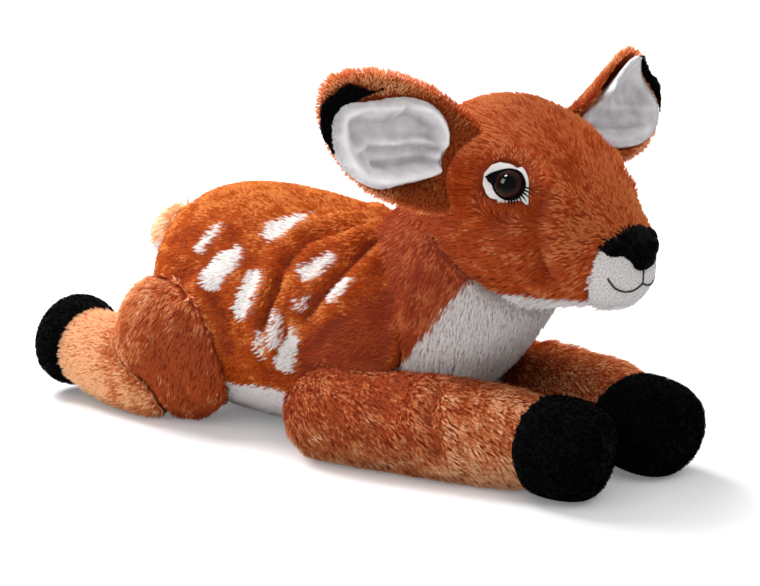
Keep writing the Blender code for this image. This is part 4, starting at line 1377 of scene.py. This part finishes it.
    def cut(self, form: Form, edge: Outline, back: Form) -> None:
        """Stretch a layer about its middle until its edge follows an outline, and lay it on the back.

        Args:
            form: the layer.
            edge: the outline, along the ear and above its middle in mm.
            back: form of the ear's back.
        """
        corners = np.array(edge)
        middle = corners.mean(axis=0)
        flat = self.laid_out(form)
        own_middle = 0.5 * (flat.min(axis=0) + flat.max(axis=0))
        offset = flat - own_middle
        turn = np.arctan2(offset[:, 1], offset[:, 0])
        rims = [np.interp(turn, np.arctan2(line[:, 1], line[:, 0]), np.hypot(*line.T), period=2.0 * np.pi)
                for line in (self.own_edge(form) - own_middle, corners - middle)]
        placed = middle + offset * np.clip(rims[1] / rims[0], 0.5, 1.8)[:, None]
        face = self.axes[2]
        back.write()
        surface = surface_of(back.piece.data)
        moved = form.points + (placed - flat) @ self.plane
        rise = self.heights(surface, moved, face) - self.heights(surface, form.points, face)
        form.points = moved + face[None, :] * form.averaged(rise, 4)[:, None]

    def own_edge(self, form: Form, sectors: int = 28) -> np.ndarray:
        """Return a layer's own outline, along the ear and above its middle in mm."""
        flat = self.laid_out(form)
        middle = 0.5 * (flat.min(axis=0) + flat.max(axis=0))
        offset = flat - middle
        angle = np.arctan2(offset[:, 1], offset[:, 0])
        number = ((angle / np.pi + 1.0) * 0.5 * sectors).astype(int) % sectors
        reach = np.zeros(sectors)
        np.maximum.at(reach, number, np.hypot(*offset.T))
        reach = np.maximum(reach, 0.5 * (np.roll(reach, 1) + np.roll(reach, -1)))
        turn = ((np.arange(sectors) + 0.5) / sectors * 2.0 - 1.0) * np.pi
        return middle + np.stack([np.cos(turn), np.sin(turn)], axis=1) * reach[:, None]

    @staticmethod
    def heights(surface: BVHTree, points: np.ndarray, face: np.ndarray, start: float = 60.0,
                reach: float = 200.0) -> np.ndarray:
        """Measure a surface against the face direction.

        Args:
            surface: the surface.
            points: array of points in mm.
            face: direction in which heights are measured.
            start: how far above each point its ray starts, in mm.
            reach: longest way that the ray goes, in mm.

        Returns:
            The surface's height under each point, in mm.
        """
        found = []
        for point in points:
            above = Vector(point + face * start) * MM
            hit = surface.ray_cast(above, -Vector(face), reach * MM)[0]
            if hit is None:
                hit = surface.find_nearest(Vector(point) * MM)[0]
            found.append(hit.dot(Vector(face)) / MM)
        return np.array(found)

    def velvet(self, back: Form) -> Form:
        """Make the black velvet of the tip on the ear's back and return its form."""
        tip = self.layer("ear_tip", "velvet", self.tip_edge, 1, back)
        tip.store(white=0.0, tone=0.0, pile=np.where(tip.normals() @ self.axes[2] > -0.2, 0.7, 0.0))
        tip.comb(tip.points - np.array(self.base))
        self.dress(tip, black_velvet(self.sided("ear")), "black_velvet", 0.2)
        self.pile(tip, self.sided("ear_tip_pile"), BLACK, Lay.VELVET, "black_velvet")
        return tip

    def lining(self, back: Form) -> Form:
        """Make the white lining with the folds that gather at the root, and return its form."""
        sheet = self.layer("ear_lining", "velour", self.lining_edge, 0, back)
        face = self.axes[2]
        ahead = sheet.normals() @ face > 0.0
        flat = self.laid_out(sheet)
        inwards = outline_depth(flat, [tuple(corner) for corner in self.own_edge(sheet)])
        lift = sheet.averaged(np.where(ahead, self.folds(flat, inwards) * self.fold_height, 0.0), 2)
        sheet.points = sheet.points + face[None, :] * lift[:, None]
        # Painted shade: the lining's pile and backing are greyer where the sheet lies low and in its folds,
        # lighter on their ridges
        sheet.store(white=0.0, tone=(lift - 4.2) * 0.03 + 0.34 * sheet.relief(8, 0.7),
                    pile=np.where(ahead, 0.9, 0.25), share=1.0 - smoothstep(inwards, 1.5, 4.5))
        sheet.comb(sheet.points - np.array(self.base))
        self.dress(sheet, Backing(self.sided("white_velour_ear"), "#aca7aa", "#f2f0f1"), "white_plush", 0.2)
        self.pile(sheet, self.sided("ear_lining_pile"), LINING, Lay.VELOUR, "white_plush")
        return sheet

    @staticmethod
    def folds(flat: np.ndarray, inwards: np.ndarray) -> np.ndarray:
        """Return how far the lining stands out at each point.

        Args:
            flat: distances along the ear and above its middle in mm.
            inwards: distance from the lining's edge in mm.

        Returns:
            The heights in mm.
        """
        height = 8.0 * smoothstep(inwards, 0.0, 6.0) - 6.5 * smoothstep(inwards, 6.0, 15.0)
        folds = (
            (((84, -5), (68, 1), (53, 6), (36, 10)), 9.0, -1.5),
            (((76, -16), (69, -12), (60, -8), (49, -3), (38, 3), (24, 8)), 2.8, 3.4),
            (((66, -12), (60, -10), (49, -6), (38, 0), (24, 5)), 2.6, -3.6),
            (((61, -21), (57, -19.5), (50, -16.5), (39, -10.5), (30, -5.5), (17, -1)), 2.2, -5.5),
            (((57, -24), (50, -22), (37, -15), (24, -8), (15, -4)), 4.6, 5.4),
            (((73, -17), (67, -19), (62, -22)), 3.2, 2.4),
            (((52, 15), (43, 16), (35, 14.5), (28, 9), (19, 4)), 2.6, -3.4),
            (((46, 22), (34, 20), (25, 14), (18, 7)), 4.4, 2.2),
            (((57, 18), (55, 12)), 2.4, -2.6),
            (((84, -4), (78, -3)), 4.0, -2.4),
        )
        for path, reach, rise in folds:
            height += rise * np.exp(-(flat_distance(flat, path) / reach) ** 2)
        return np.maximum(height, 0.2)


@dataclass
class FrontLeg(StuffedPart):
    """Front leg in rust plush with a rounded black hoof.

    Attributes:
        creases: the right leg's creases.
        left_ahead: how far ahead of them the left leg's lie, in mm.
    """

    limb: str = "front_leg"
    creases: tuple[Crease, ...] = (
        Crease(((142, -62, 58), (144, -70, 50), (150, -76, 37), (153, -74, 19)), 4.6, 5.0, 0.6),
        Crease(((112, -88, 30), (118, -84, 42), (122, -72, 56)), 7.0, 3.0, 0.5),
    )
    left_ahead: float = 14.0

    def build(self) -> None:
        """Make the leg and the hoof."""
        leg, free = self.stuffed(self.sided("front_leg_fabric"), (self.sided("front_leg"),), 5)
        ahead = self.left_ahead if self.side == "left" else 0.0
        leg.crease(*(crease.moved(-SIDES[self.side], ahead) for crease in self.creases))
        # Painted light: the pile is lighter towards the ankle and the floor, as bounce light from the floor,
        # and relief paints highlights on ridges and shade in creases
        lower = smoothstep(leg.points[:, 0], 128.0, 178.0)
        under = smoothstep(-leg.points[:, 2], -36.0, -8.0)
        leg.store(white=0.0, tone=-0.26 + 0.34 * lower + 0.38 * under + 0.25 * leg.relief(),
                  pile=leg.cover(free))
        leg.comb((1.0, 0.0, -0.5))
        self.dress(leg, Backing(self.sided("rust_knit_front")), "rust_plush")
        self.pile(leg, self.sided("front_leg_pile"), HAUNCH, Lay.PLUSH, "rust_plush")
        self.hoof("front_hoof", (1.0, 0.0, -0.4))


@dataclass
class HindLeg(StuffedPart):
    """Hind leg: a broad rust thigh, a lower leg painted paler as lit from behind, and a black hoof.

    Attributes:
        creases: the right thigh's creases.
    """

    limb: str = "hind_leg"
    creases: tuple[Crease, ...] = (
        Crease(((-60, -88, 60), (-50, -87, 44), (-46, -80, 30), (-44, -67, 13)), 5.0, 2.4, 0.4),
        Crease(((-84, -90, 52), (-78, -90, 36), (-72, -84, 20)), 5.0, 2.0, 0.4),
    )

    def build(self) -> None:
        """Make the thigh, the lower leg and the hoof."""
        thigh, free = self.stuffed(self.sided("thigh_fabric"), (self.sided("thigh"),), 5)
        thigh.crease(*(crease.moved(-SIDES[self.side]) for crease in self.creases))
        # Painted light: the thigh is lighter towards the back and the top, where light from behind and above
        # falls, and relief paints highlights on ridges and shade in creases
        behind = smoothstep(-thigh.points[:, 0], 56.0, 112.0)
        above = smoothstep(thigh.points[:, 2], 64.0, 104.0)
        thigh.store(white=0.0, tone=-0.38 + 0.56 * behind + 0.46 * above + 0.22 * thigh.relief(),
                    pile=thigh.cover(free))
        thigh.comb((-0.35, 0.0, -1.0))
        self.dress(thigh, Backing(self.sided("rust_knit_thigh")), "rust_plush")
        self.pile(thigh, self.sided("thigh_pile"), HAUNCH, Lay.PLUSH, "rust_plush")
        shank, free = self.stuffed(self.sided("hind_leg_fabric"), (self.sided("hind_leg"),), 5)
        # Painted light: the lower leg is drawn paler than the thigh and palest towards the back, as lit from
        # behind
        behind = smoothstep(-shank.points[:, 0], 96.0, 146.0)
        shank.store(white=0.0, tone=0.14 + 0.54 * behind + 0.2 * shank.relief(), pile=shank.cover(free))
        shank.comb((-1.0, 0.0, -0.3))
        self.dress(shank, Backing(self.sided("peach_knit"), *BACKLIT_PEACH_KNIT), "peach_plush")
        self.pile(shank, self.sided("hind_leg_pile"), HAUNCH, Lay.PLUSH, "peach_plush")
        self.hoof("hind_hoof", (-1.0, 0.0, -0.3))


@dataclass
class Tail(StuffedPart):
    """Short tail, peach brown above, painted paler as lit from behind, and white below.

    Attributes:
        seam_point: a point of the plane that parts the colours, in mm.
        seam_normal: direction in which that plane faces the white side.
    """

    limb: str = "tail"
    inset: float = 0.6
    voxel: float = 1.8
    seam_point: Point = (-112.0, 0.0, 111.0)
    seam_normal: Point = (0.447, 0.0, -0.894)

    def build(self) -> None:
        """Make the tail's form and its pile."""
        form, free = self.stuffed("tail_fabric", ("tail_top", "tail_underside"), 3)
        under = (form.points - np.array(self.seam_point)) @ np.array(self.seam_normal)
        # Painted light: the tail's pile takes the pale end of its palette, as lit from behind
        form.store(white=smoothstep(under, -0.5, 2.5), tone=0.3, pile=1.25 * form.cover(free))
        form.comb((-1.0, 0.0, -0.8))
        self.dress(form, Backing("peach_knit_tail", *BACKLIT_PEACH_KNIT), "peach_plush")
        self.pile(form, "tail_pile", PEACH, Lay.PLUSH, "peach_plush")


def catmull(a: Vector, b: Vector, c: Vector, d: Vector, s: float) -> Vector:
    """Return the point at share s of the smooth run from b to c."""
    return 0.5 * ((2.0 * b) + (c - a) * s + (2.0 * a - 5.0 * b + 4.0 * c - d) * s ** 2
                  + (3.0 * b - a - 3.0 * c + d) * s ** 3)


@dataclass
class Eye:
    """Glossy eye on felt, with lashes.

    Attributes:
        side: left or right.
        radius: of the dome, in mm.
        height: of the dome above its rim, in mm.
        lashes: how many.
        liner: outline of the black felt, forward and up of the eye in mm.
        patch: outline of the white felt in the same measure.
        felt_thickness: of either felt, in mm.
        post: outline of the rim's underside and the post, out from the axis and up from the dome's top in mm.
        sectors: faces round the dome.
        lash_half_width: at a lash's root, in mm.
        lash_fan: degrees of the first lash above the eye's front, and from there down to the last one.
        lash_reach: length of the first lash, and how much shorter the last one is, in mm.
        lash_rows: height over the rim in mm and share of the width, at a lash's root, middle and tip.
    """

    side: str
    radius: float = 8.0
    height: float = 5.0
    lashes: int = 9
    liner: Outline = (
        (-18.0, -2.4), (-13.4, 1.6), (-9.2, 5.2), (-3.7, 8.9), (2.5, 9.6), (7.0, 6.6), (9.3, 2.9),
        (9.4, -1.6), (7.9, -5.3), (4.8, -7.9), (1.0, -9.2), (-3.8, -8.6), (-7.6, -6.4), (-10.4, -3.9),
    )
    patch: Outline = (
        (-21.2, 2.0), (-17.8, 8.2), (-10.4, 12.9), (-3.0, 13.9), (4.0, 11.5), (8.3, 7.7), (10.9, 3.3),
        (12.9, -1.6), (15.0, -6.4), (10.6, -5.4), (7.8, -6.8), (4.2, -9.0), (0.0, -11.4), (-7.2, -14.2),
        (-14.6, -13.2), (-18.8, -7.0),
    )
    felt_thickness: float = 0.9
    post: Outline = ((7.7, -5.7), (2.2, -5.8), (2.2, -16.0), (0.0, -16.4))
    sectors: int = 48
    lash_half_width: float = 0.62
    lash_fan: tuple[float, float] = (14.0, 74.0)
    lash_reach: tuple[float, float] = (9.4, 4.6)
    lash_rows: Outline = ((0.8, 1.0), (2.6, 0.75), (3.4, 0.1))

    def build(self) -> None:
        """Make the dome, the felts and the lashes, and finish the washer."""
        seat = EyeSeat.of(self.side)
        out = Vector(seat.out)
        forward = Vector(seat.forward)
        place = Matrix((forward, out.cross(forward), out)).transposed().to_4x4()
        place.translation = Vector(seat.centre + seat.out * seat.top) * MM
        dome = linked(f"eye_dome_{self.side}", self.dome(place))
        look = EyePlastic(f"acrylic_eye_{self.side}", place @ Vector((0.0, 0.0, -self.height * MM)))
        dome.data.materials.append(look.material())
        hand_over(dome, "head", "eye_plastic", f"eye_{self.side}")
        washer = frame["nodes"][f"eye_washer_{self.side}"].data.materials
        washer.clear()
        washer.append(made_once(Strand("washer_nylon", "#d8d8d4")))
        black = Felt("black_wool_felt", "#030303", "#0a0a0b", 0.7, 0.02, 0.02)
        felts = (
            ("patch", self.patch, 0.0, Felt("white_wool_felt", "#e2dcd8", "#fbf9f7"), "white_felt"),
            ("liner", self.liner, self.felt_thickness, black, "black_felt"),
        )
        for kind, edge, lift, look, slot in felts:
            name = f"{kind}_felt_{self.side}"
            felt = linked(name, self.felt(seat, name, edge, lift))
            felt.data.materials.append(made_once(look))
            hand_over(felt, "head", slot, f"eye_{kind}_{self.side}")
        lashes = linked(f"lashes_{self.side}", self.fringe(seat))
        lashes.data.materials.append(made_once(black))
        hand_over(lashes, "head", "black_felt")

    def felt(self, seat: EyeSeat, name: str, edge: Outline, lift: float) -> bpy.types.Mesh:
        """Cut a felt and lay it where the CAD's white felt lies.

        Args:
            seat: where the eye sits.
            name: name of the mesh.
            edge: the felt's outline, forward and up of the eye in mm.
            lift: how far the felt lies above the CAD's white felt, in mm.

        Returns:
            The felt's mesh.
        """
        under = surface_of(frame["nodes"][f"eye_patch_{self.side}"].data)
        corners = [Vector((x, y, 0.0)) for x, y in edge]
        smooth = []
        for i in range(len(corners)):
            run = [corners[(i + step) % len(corners)] for step in (-1, 0, 1, 2)]
            smooth += [catmull(*run, share) for share in (0.0, 0.33, 0.66)] if i else [corners[0]]
        out = Vector(seat.out)
        rings = []
        for size in (1.0, 0.8, 0.6, 0.4):
            ring = []
            for point in smooth:
                place = seat.centre + seat.forward * point.x * size + seat.up * point.y * size
                above = Vector(place + seat.out * 12.0) * MM
                ring.append(under.ray_cast(above, -out, 40.0 * MM)[0] or under.find_nearest(above)[0])
            rings.append(ring)
        shape = bmesh.new()
        top = out * (lift * MM)
        bottom = out * ((lift - self.felt_thickness) * MM)
        upper = [[shape.verts.new(point + top) for point in ring] for ring in rings]
        low = [shape.verts.new(point + bottom) for point in rings[0]]
        for outer, inner in [(low, upper[0]), *zip(upper[:-1], upper[1:])]:
            for i in range(len(outer)):
                following = (i + 1) % len(outer)
                shape.faces.new((outer[i], outer[following], inner[following], inner[i]))
        shape.faces.new(upper[-1])
        shape.faces.new(low)
        bmesh.ops.recalc_face_normals(shape, faces=shape.faces)
        return to_mesh(name, shape)

    def dome(self, place: Matrix) -> bpy.types.Mesh:
        """Return the turned dome with its rim and post."""
        steps = 14
        profile = []
        for i in range(steps + 1):
            turned = math.pi / 2.0 * i / steps
            profile.append((self.radius * math.sin(turned), self.height * (math.cos(turned) - 1.0)))
        profile += self.post
        shape = bmesh.new()
        rings = []
        for x, z in profile:
            angles = [2.0 * math.pi * i / self.sectors for i in range(self.sectors if x else 1)]
            rings.append([shape.verts.new(place @ (Vector((x * math.cos(a), x * math.sin(a), z)) * MM))
                          for a in angles])
        for upper, lower in zip(rings[:-1], rings[1:]):
            for i in range(self.sectors):
                first, second = [(ring[i % len(ring)], ring[(i + 1) % len(ring)]) for ring in (upper, lower)]
                shape.faces.new(tuple(dict.fromkeys((first[0], *second, first[1]))))
        mesh = to_mesh(f"eye_dome_{self.side}", shape)
        mesh.shade_smooth()
        return mesh

    def fringe(self, seat: EyeSeat) -> bpy.types.Mesh:
        """Return the lashes: tapered fibres that fan out from the lower front of the eye."""
        shape = bmesh.new()
        rim = seat.centre + seat.out * (seat.top - self.height - 0.4)
        for i in range(self.lashes):
            share = i / (self.lashes - 1)
            angle = math.radians(self.lash_fan[0] - self.lash_fan[1] * share)
            outward = seat.forward * math.cos(angle) + seat.up * math.sin(angle)
            across = (seat.up * math.cos(angle) - seat.forward * math.sin(angle)) * self.lash_half_width
            uneven = 0.8 * math.sin(7.0 * share)
            reach = self.lash_reach[0] - self.lash_reach[1] * share + uneven
            rows = []
            for step, (lift, wide) in enumerate(self.lash_rows):
                centre = rim + outward * (self.radius - 0.3 + reach * step / 2.0) + seat.out * lift
                centre = centre - seat.up * (0.35 * step ** 2)
                rows.append([shape.verts.new((centre + across * wide * sign) * MM) for sign in (1.0, -1.0)])
            for near, far in zip(rows[:-1], rows[1:]):
                shape.faces.new((near[0], near[1], far[1], far[0]))
        return to_mesh(f"lashes_{self.side}", shape)


def stitch_tree() -> bpy.types.GeometryNodeTree:
    """Build the tree that lays short stitches along a line.

    Returns:
        The node tree with inputs for the stitch's length and thickness and its thread.
    """
    graph, given = modifier_graph("stitches", {"Pitch": "Float", "Stitch Length": "Float",
                                               "Thickness": "Float", "Thread": "Material"})
    line = graph.add("GeometryNodeMeshToCurve", {0: given["Geometry"]})
    even_line = graph.add("GeometryNodeResampleCurve",
                          {"mode": "LENGTH", "Curve": line, "Length": given["Pitch"]})
    aligned = graph.add("FunctionNodeAlignRotationToVector",
                        {"axis": "Z", "Vector": graph.add("GeometryNodeInputTangent")})
    capsule = graph.add("GeometryNodeMeshUVSphere", {"Segments": 8, "Rings": 6, "Radius": 0.5})
    size = graph.add("ShaderNodeCombineXYZ", {"X": given["Thickness"], "Y": given["Thickness"],
                                              "Z": given["Stitch Length"]})
    laid = graph.add("GeometryNodeInstanceOnPoints", {"Points": even_line, "Instance": capsule,
                                                      "Rotation": aligned, "Scale": size})
    real = graph.add("GeometryNodeRealizeInstances", {0: laid})
    done = graph.add("GeometryNodeSetMaterial", {"Geometry": real, "Material": given["Thread"]})
    graph.add("NodeGroupOutput", {0: done})
    return graph.tree


@dataclass
class Mouth:
    """Mouth embroidered in black thread: a seam down from the nose and a smile to each side.

    Attributes:
        seam: points of the seam, in mm.
        smile: points of the smile's right half.
        proud: how far the thread's middle lies off the muzzle.
        per_run: steps between two points.
        pitch: way from one stitch to the next, in mm.
        stitch_length: of each stitch, in mm.
        thickness: of the thread, in mm.
    """

    seam: tuple[Point, ...] = ((252.0, 0.0, 138.0), (252.0, 0.0, 133.0), (251.5, 0.0, 127.0))
    smile: tuple[Point, ...] = (
        (251.5, 0.0, 127.0), (250.5, -6.0, 124.6), (248.5, -12.0, 124.0), (246.0, -18.5, 125.2),
        (244.0, -23.0, 128.2), (242.5, -26.5, 132.8),
    )
    proud: float = 0.4
    per_run: int = 8
    pitch: float = 1.7
    stitch_length: float = 2.6
    thickness: float = 1.35

    def build(self) -> None:
        """Lay the stitches on the muzzle."""
        surface = surface_of(bpy.data.objects["head_fabric"].data)
        shape = bmesh.new()
        for path in (self.seam, self.smile, tuple((x, -y, z) for x, y, z in self.smile)):
            self.line(shape, surface, path)
        thread = Strand("black_embroidery_cotton", "#060505").material()
        mesh = modified("mouth_stitching", to_mesh("mouth_line", shape), "NODES", tree=stitch_tree(),
                        inputs={"Pitch": self.pitch * MM, "Stitch Length": self.stitch_length * MM,
                                "Thickness": self.thickness * MM, "Thread": thread})
        mesh.shade_smooth()
        hand_over(linked("mouth_stitching", mesh), "head", "black_felt")

    def line(self, shape: bmesh.types.BMesh, surface: BVHTree, path: Sequence[Point]) -> None:
        """Add a smooth line through the path's points, laid on the muzzle."""
        knots = [Vector(point) for point in path]
        fine = []
        for i in range(len(knots) - 1):
            before = knots[max(i - 1, 0)]
            after = knots[min(i + 2, len(knots) - 1)]
            fine += [catmull(before, knots[i], knots[i + 1], after, step / self.per_run)
                     for step in range(self.per_run)]
        fine.append(knots[-1])
        previous = None
        for point in fine:
            near, normal, _, _ = surface.find_nearest(point * MM)
            corner = shape.verts.new(near + normal * (self.proud * MM))
            if previous:
                shape.edges.new((previous, corner))
            previous = corner


@dataclass
class Studio:
    """White studio: floor, soft lights and the photograph's camera.

    Attributes:
        target: point that the camera looks at, in mm.
        azimuth: degrees from -Y towards +X.
        elevation: degrees above the horizon.
        distance: of the camera in mm.
        lens: focal length on a 36 mm sensor.
        ambient: strength of the light from all round.
        floor_reach: of the floor from its middle, in metres.
        white_from: where the paper starts to turn white and where it is white, in metres.
        white_glow: strength of its glow at these places.
        softboxes: name, direction, distance and side in metres, and power in watts of each softbox.
        glints: name, direction, side and power of the lamps that only shine in glossy surfaces.
    """

    target: Point = (68.0, -17.0, 97.0)
    azimuth: float = 38.0
    elevation: float = 14.0
    distance: float = 1500.0
    lens: float = 113.7
    ambient: float = 0.36
    floor_reach: float = 6.0
    white_from: tuple[float, float] = (0.25, 0.9)
    white_glow: tuple[float, float] = (0.16, 0.9)
    softboxes: tuple[tuple[str, Point, float, float, float], ...] = (
        ("key_softbox", (-0.60, 0.10, 0.80), 1.5, 1.0, 42.0),
        ("front_softbox", (0.10, -0.7, 1.0), 1.7, 1.2, 5.0),
        ("side_softbox", (0.90, -0.20, 1.0), 1.7, 1.0, 6.0),
    )
    glints: tuple[tuple[str, Point, float, float, float], ...] = (
        ("catch_light", (-0.155, -0.370, 0.916), 1.217, 0.24, 34.0),
        ("fill_catch_light", (-0.22, -0.76, 0.56), 1.217, 0.46, 26.0),
    )

    def build(self) -> None:
        """Make the floor, the lights, the world and the camera."""
        self.floor()
        for softbox in self.softboxes:
            self.lamp(*softbox).visible_glossy = False
        for glint in self.glints:
            self.lamp(*glint).visible_diffuse = False
        self.world()
        self.camera()

    def floor(self) -> None:
        """Make the pale floor, which glows white to the camera away from the toy and keeps the toy's shadow.
        """
        shape = bmesh.new()
        bmesh.ops.create_grid(shape, x_segments=1, y_segments=1, size=self.floor_reach)
        floor = linked("studio_floor", to_mesh("studio_floor", shape))
        paper = Finish("white_paper_floor", 0.95, 0.0)
        paper.shade(**{"Base Color": linear("#f4f4f5")})
        path = paper.add("ShaderNodeLightPath").outputs
        seen = paper.maths("MAXIMUM", path["Is Camera Ray"], path["Is Glossy Ray"])
        # Painted light: the flat paper glows to camera and glossy rays, the more the further it lies from the
        # toy, so it turns pure white away from the toy while the shadow near it stays
        away = paper.vector("LENGTH", paper.place())
        lift = paper.remap(away, *self.white_from, *self.white_glow)
        strength = paper.maths("MULTIPLY", seen, lift)
        glow = paper.add("ShaderNodeEmission", {"Color": PURE_WHITE, "Strength": strength})
        both = paper.add("ShaderNodeAddShader", {0: paper.shader, 1: glow})
        paper.feed(paper.tree.nodes["Material Output"], {"Surface": both})
        floor.data.materials.append(paper.material)

    def lamp(self, name: str, towards: Point, away: float, size: float, power: float) -> bpy.types.Object:
        """Add a square softbox that looks at the toy.

        Args:
            name: its name.
            towards: direction in which it stands.
            away: its distance in metres.
            size: its side in metres.
            power: its power in watts.

        Returns:
            The lamp.
        """
        light = bpy.data.lights.new(name, "AREA")
        light.shape = "SQUARE"
        light.size = size
        light.energy = power
        lamp = linked(name, light)
        direction = Vector(towards).normalized()
        lamp.location = Vector(self.target) * MM + direction * away
        lamp.rotation_euler = direction.to_track_quat("Z", "Y").to_euler()
        return lamp

    def world(self) -> None:
        """Light the toy softly from all round and show white behind it."""
        world = bpy.data.worlds.new("white_studio")
        bpy.context.scene.world = world
        world.use_nodes = True
        graph = Graph(world.node_tree)
        path = graph.add("ShaderNodeLightPath").outputs
        sharp = graph.maths("MAXIMUM", path["Is Glossy Ray"], path["Is Transmission Ray"])
        seen = graph.maths("MAXIMUM", path["Is Camera Ray"], sharp)
        strength = graph.remap(seen, 0.0, 1.0, self.ambient, 1.0)
        graph.feed(graph.tree.nodes["Background"], {"Color": PURE_WHITE, "Strength": strength})

    def camera(self) -> None:
        """Place the camera at the photograph's angle."""
        azimuth = math.radians(self.azimuth)
        elevation = math.radians(self.elevation)
        back = Vector((math.sin(azimuth) * math.cos(elevation), -math.cos(azimuth) * math.cos(elevation),
                       math.sin(elevation)))
        data = bpy.data.cameras.new("photo_camera")
        data.lens = self.lens
        data.sensor_width = 36.0
        camera = linked("photo_camera", data)
        camera.location = (Vector(self.target) + back * self.distance) * MM
        camera.rotation_euler = back.to_track_quat("Z", "Y").to_euler()
        bpy.context.scene.camera = camera


def main() -> None:
    """Build the studio and dress the toy, piece by piece."""
    logging.basicConfig(level=logging.INFO, format="%(name)s %(message)s")
    bpy.context.scene.view_settings.view_transform = "Standard"
    Studio().build()
    weaver = Weaver()
    Torso(weaver).build()
    Neck(weaver).build()
    Head(weaver).build()
    Nose(weaver).build()
    Mouth().build()
    Ear(weaver, "right").build()
    Ear(weaver, "left", base=(152.0, 50.0, 192.0), along=(0.06, 0.90, 0.29), face=(0.85, 0.10, 0.50),
        layer_fits=((0.06, 0.12, 2.0), (0.06, 0.12, 0.0)), fold_height=0.45, corner_push=0.0).build()
    for side in SIDES:
        Eye(side).build()
        FrontLeg(weaver, side).build()
        HindLeg(weaver, side).build()
    Tail(weaver).build()
    weaver.put_away()


if __name__ == "__main__":
    main()
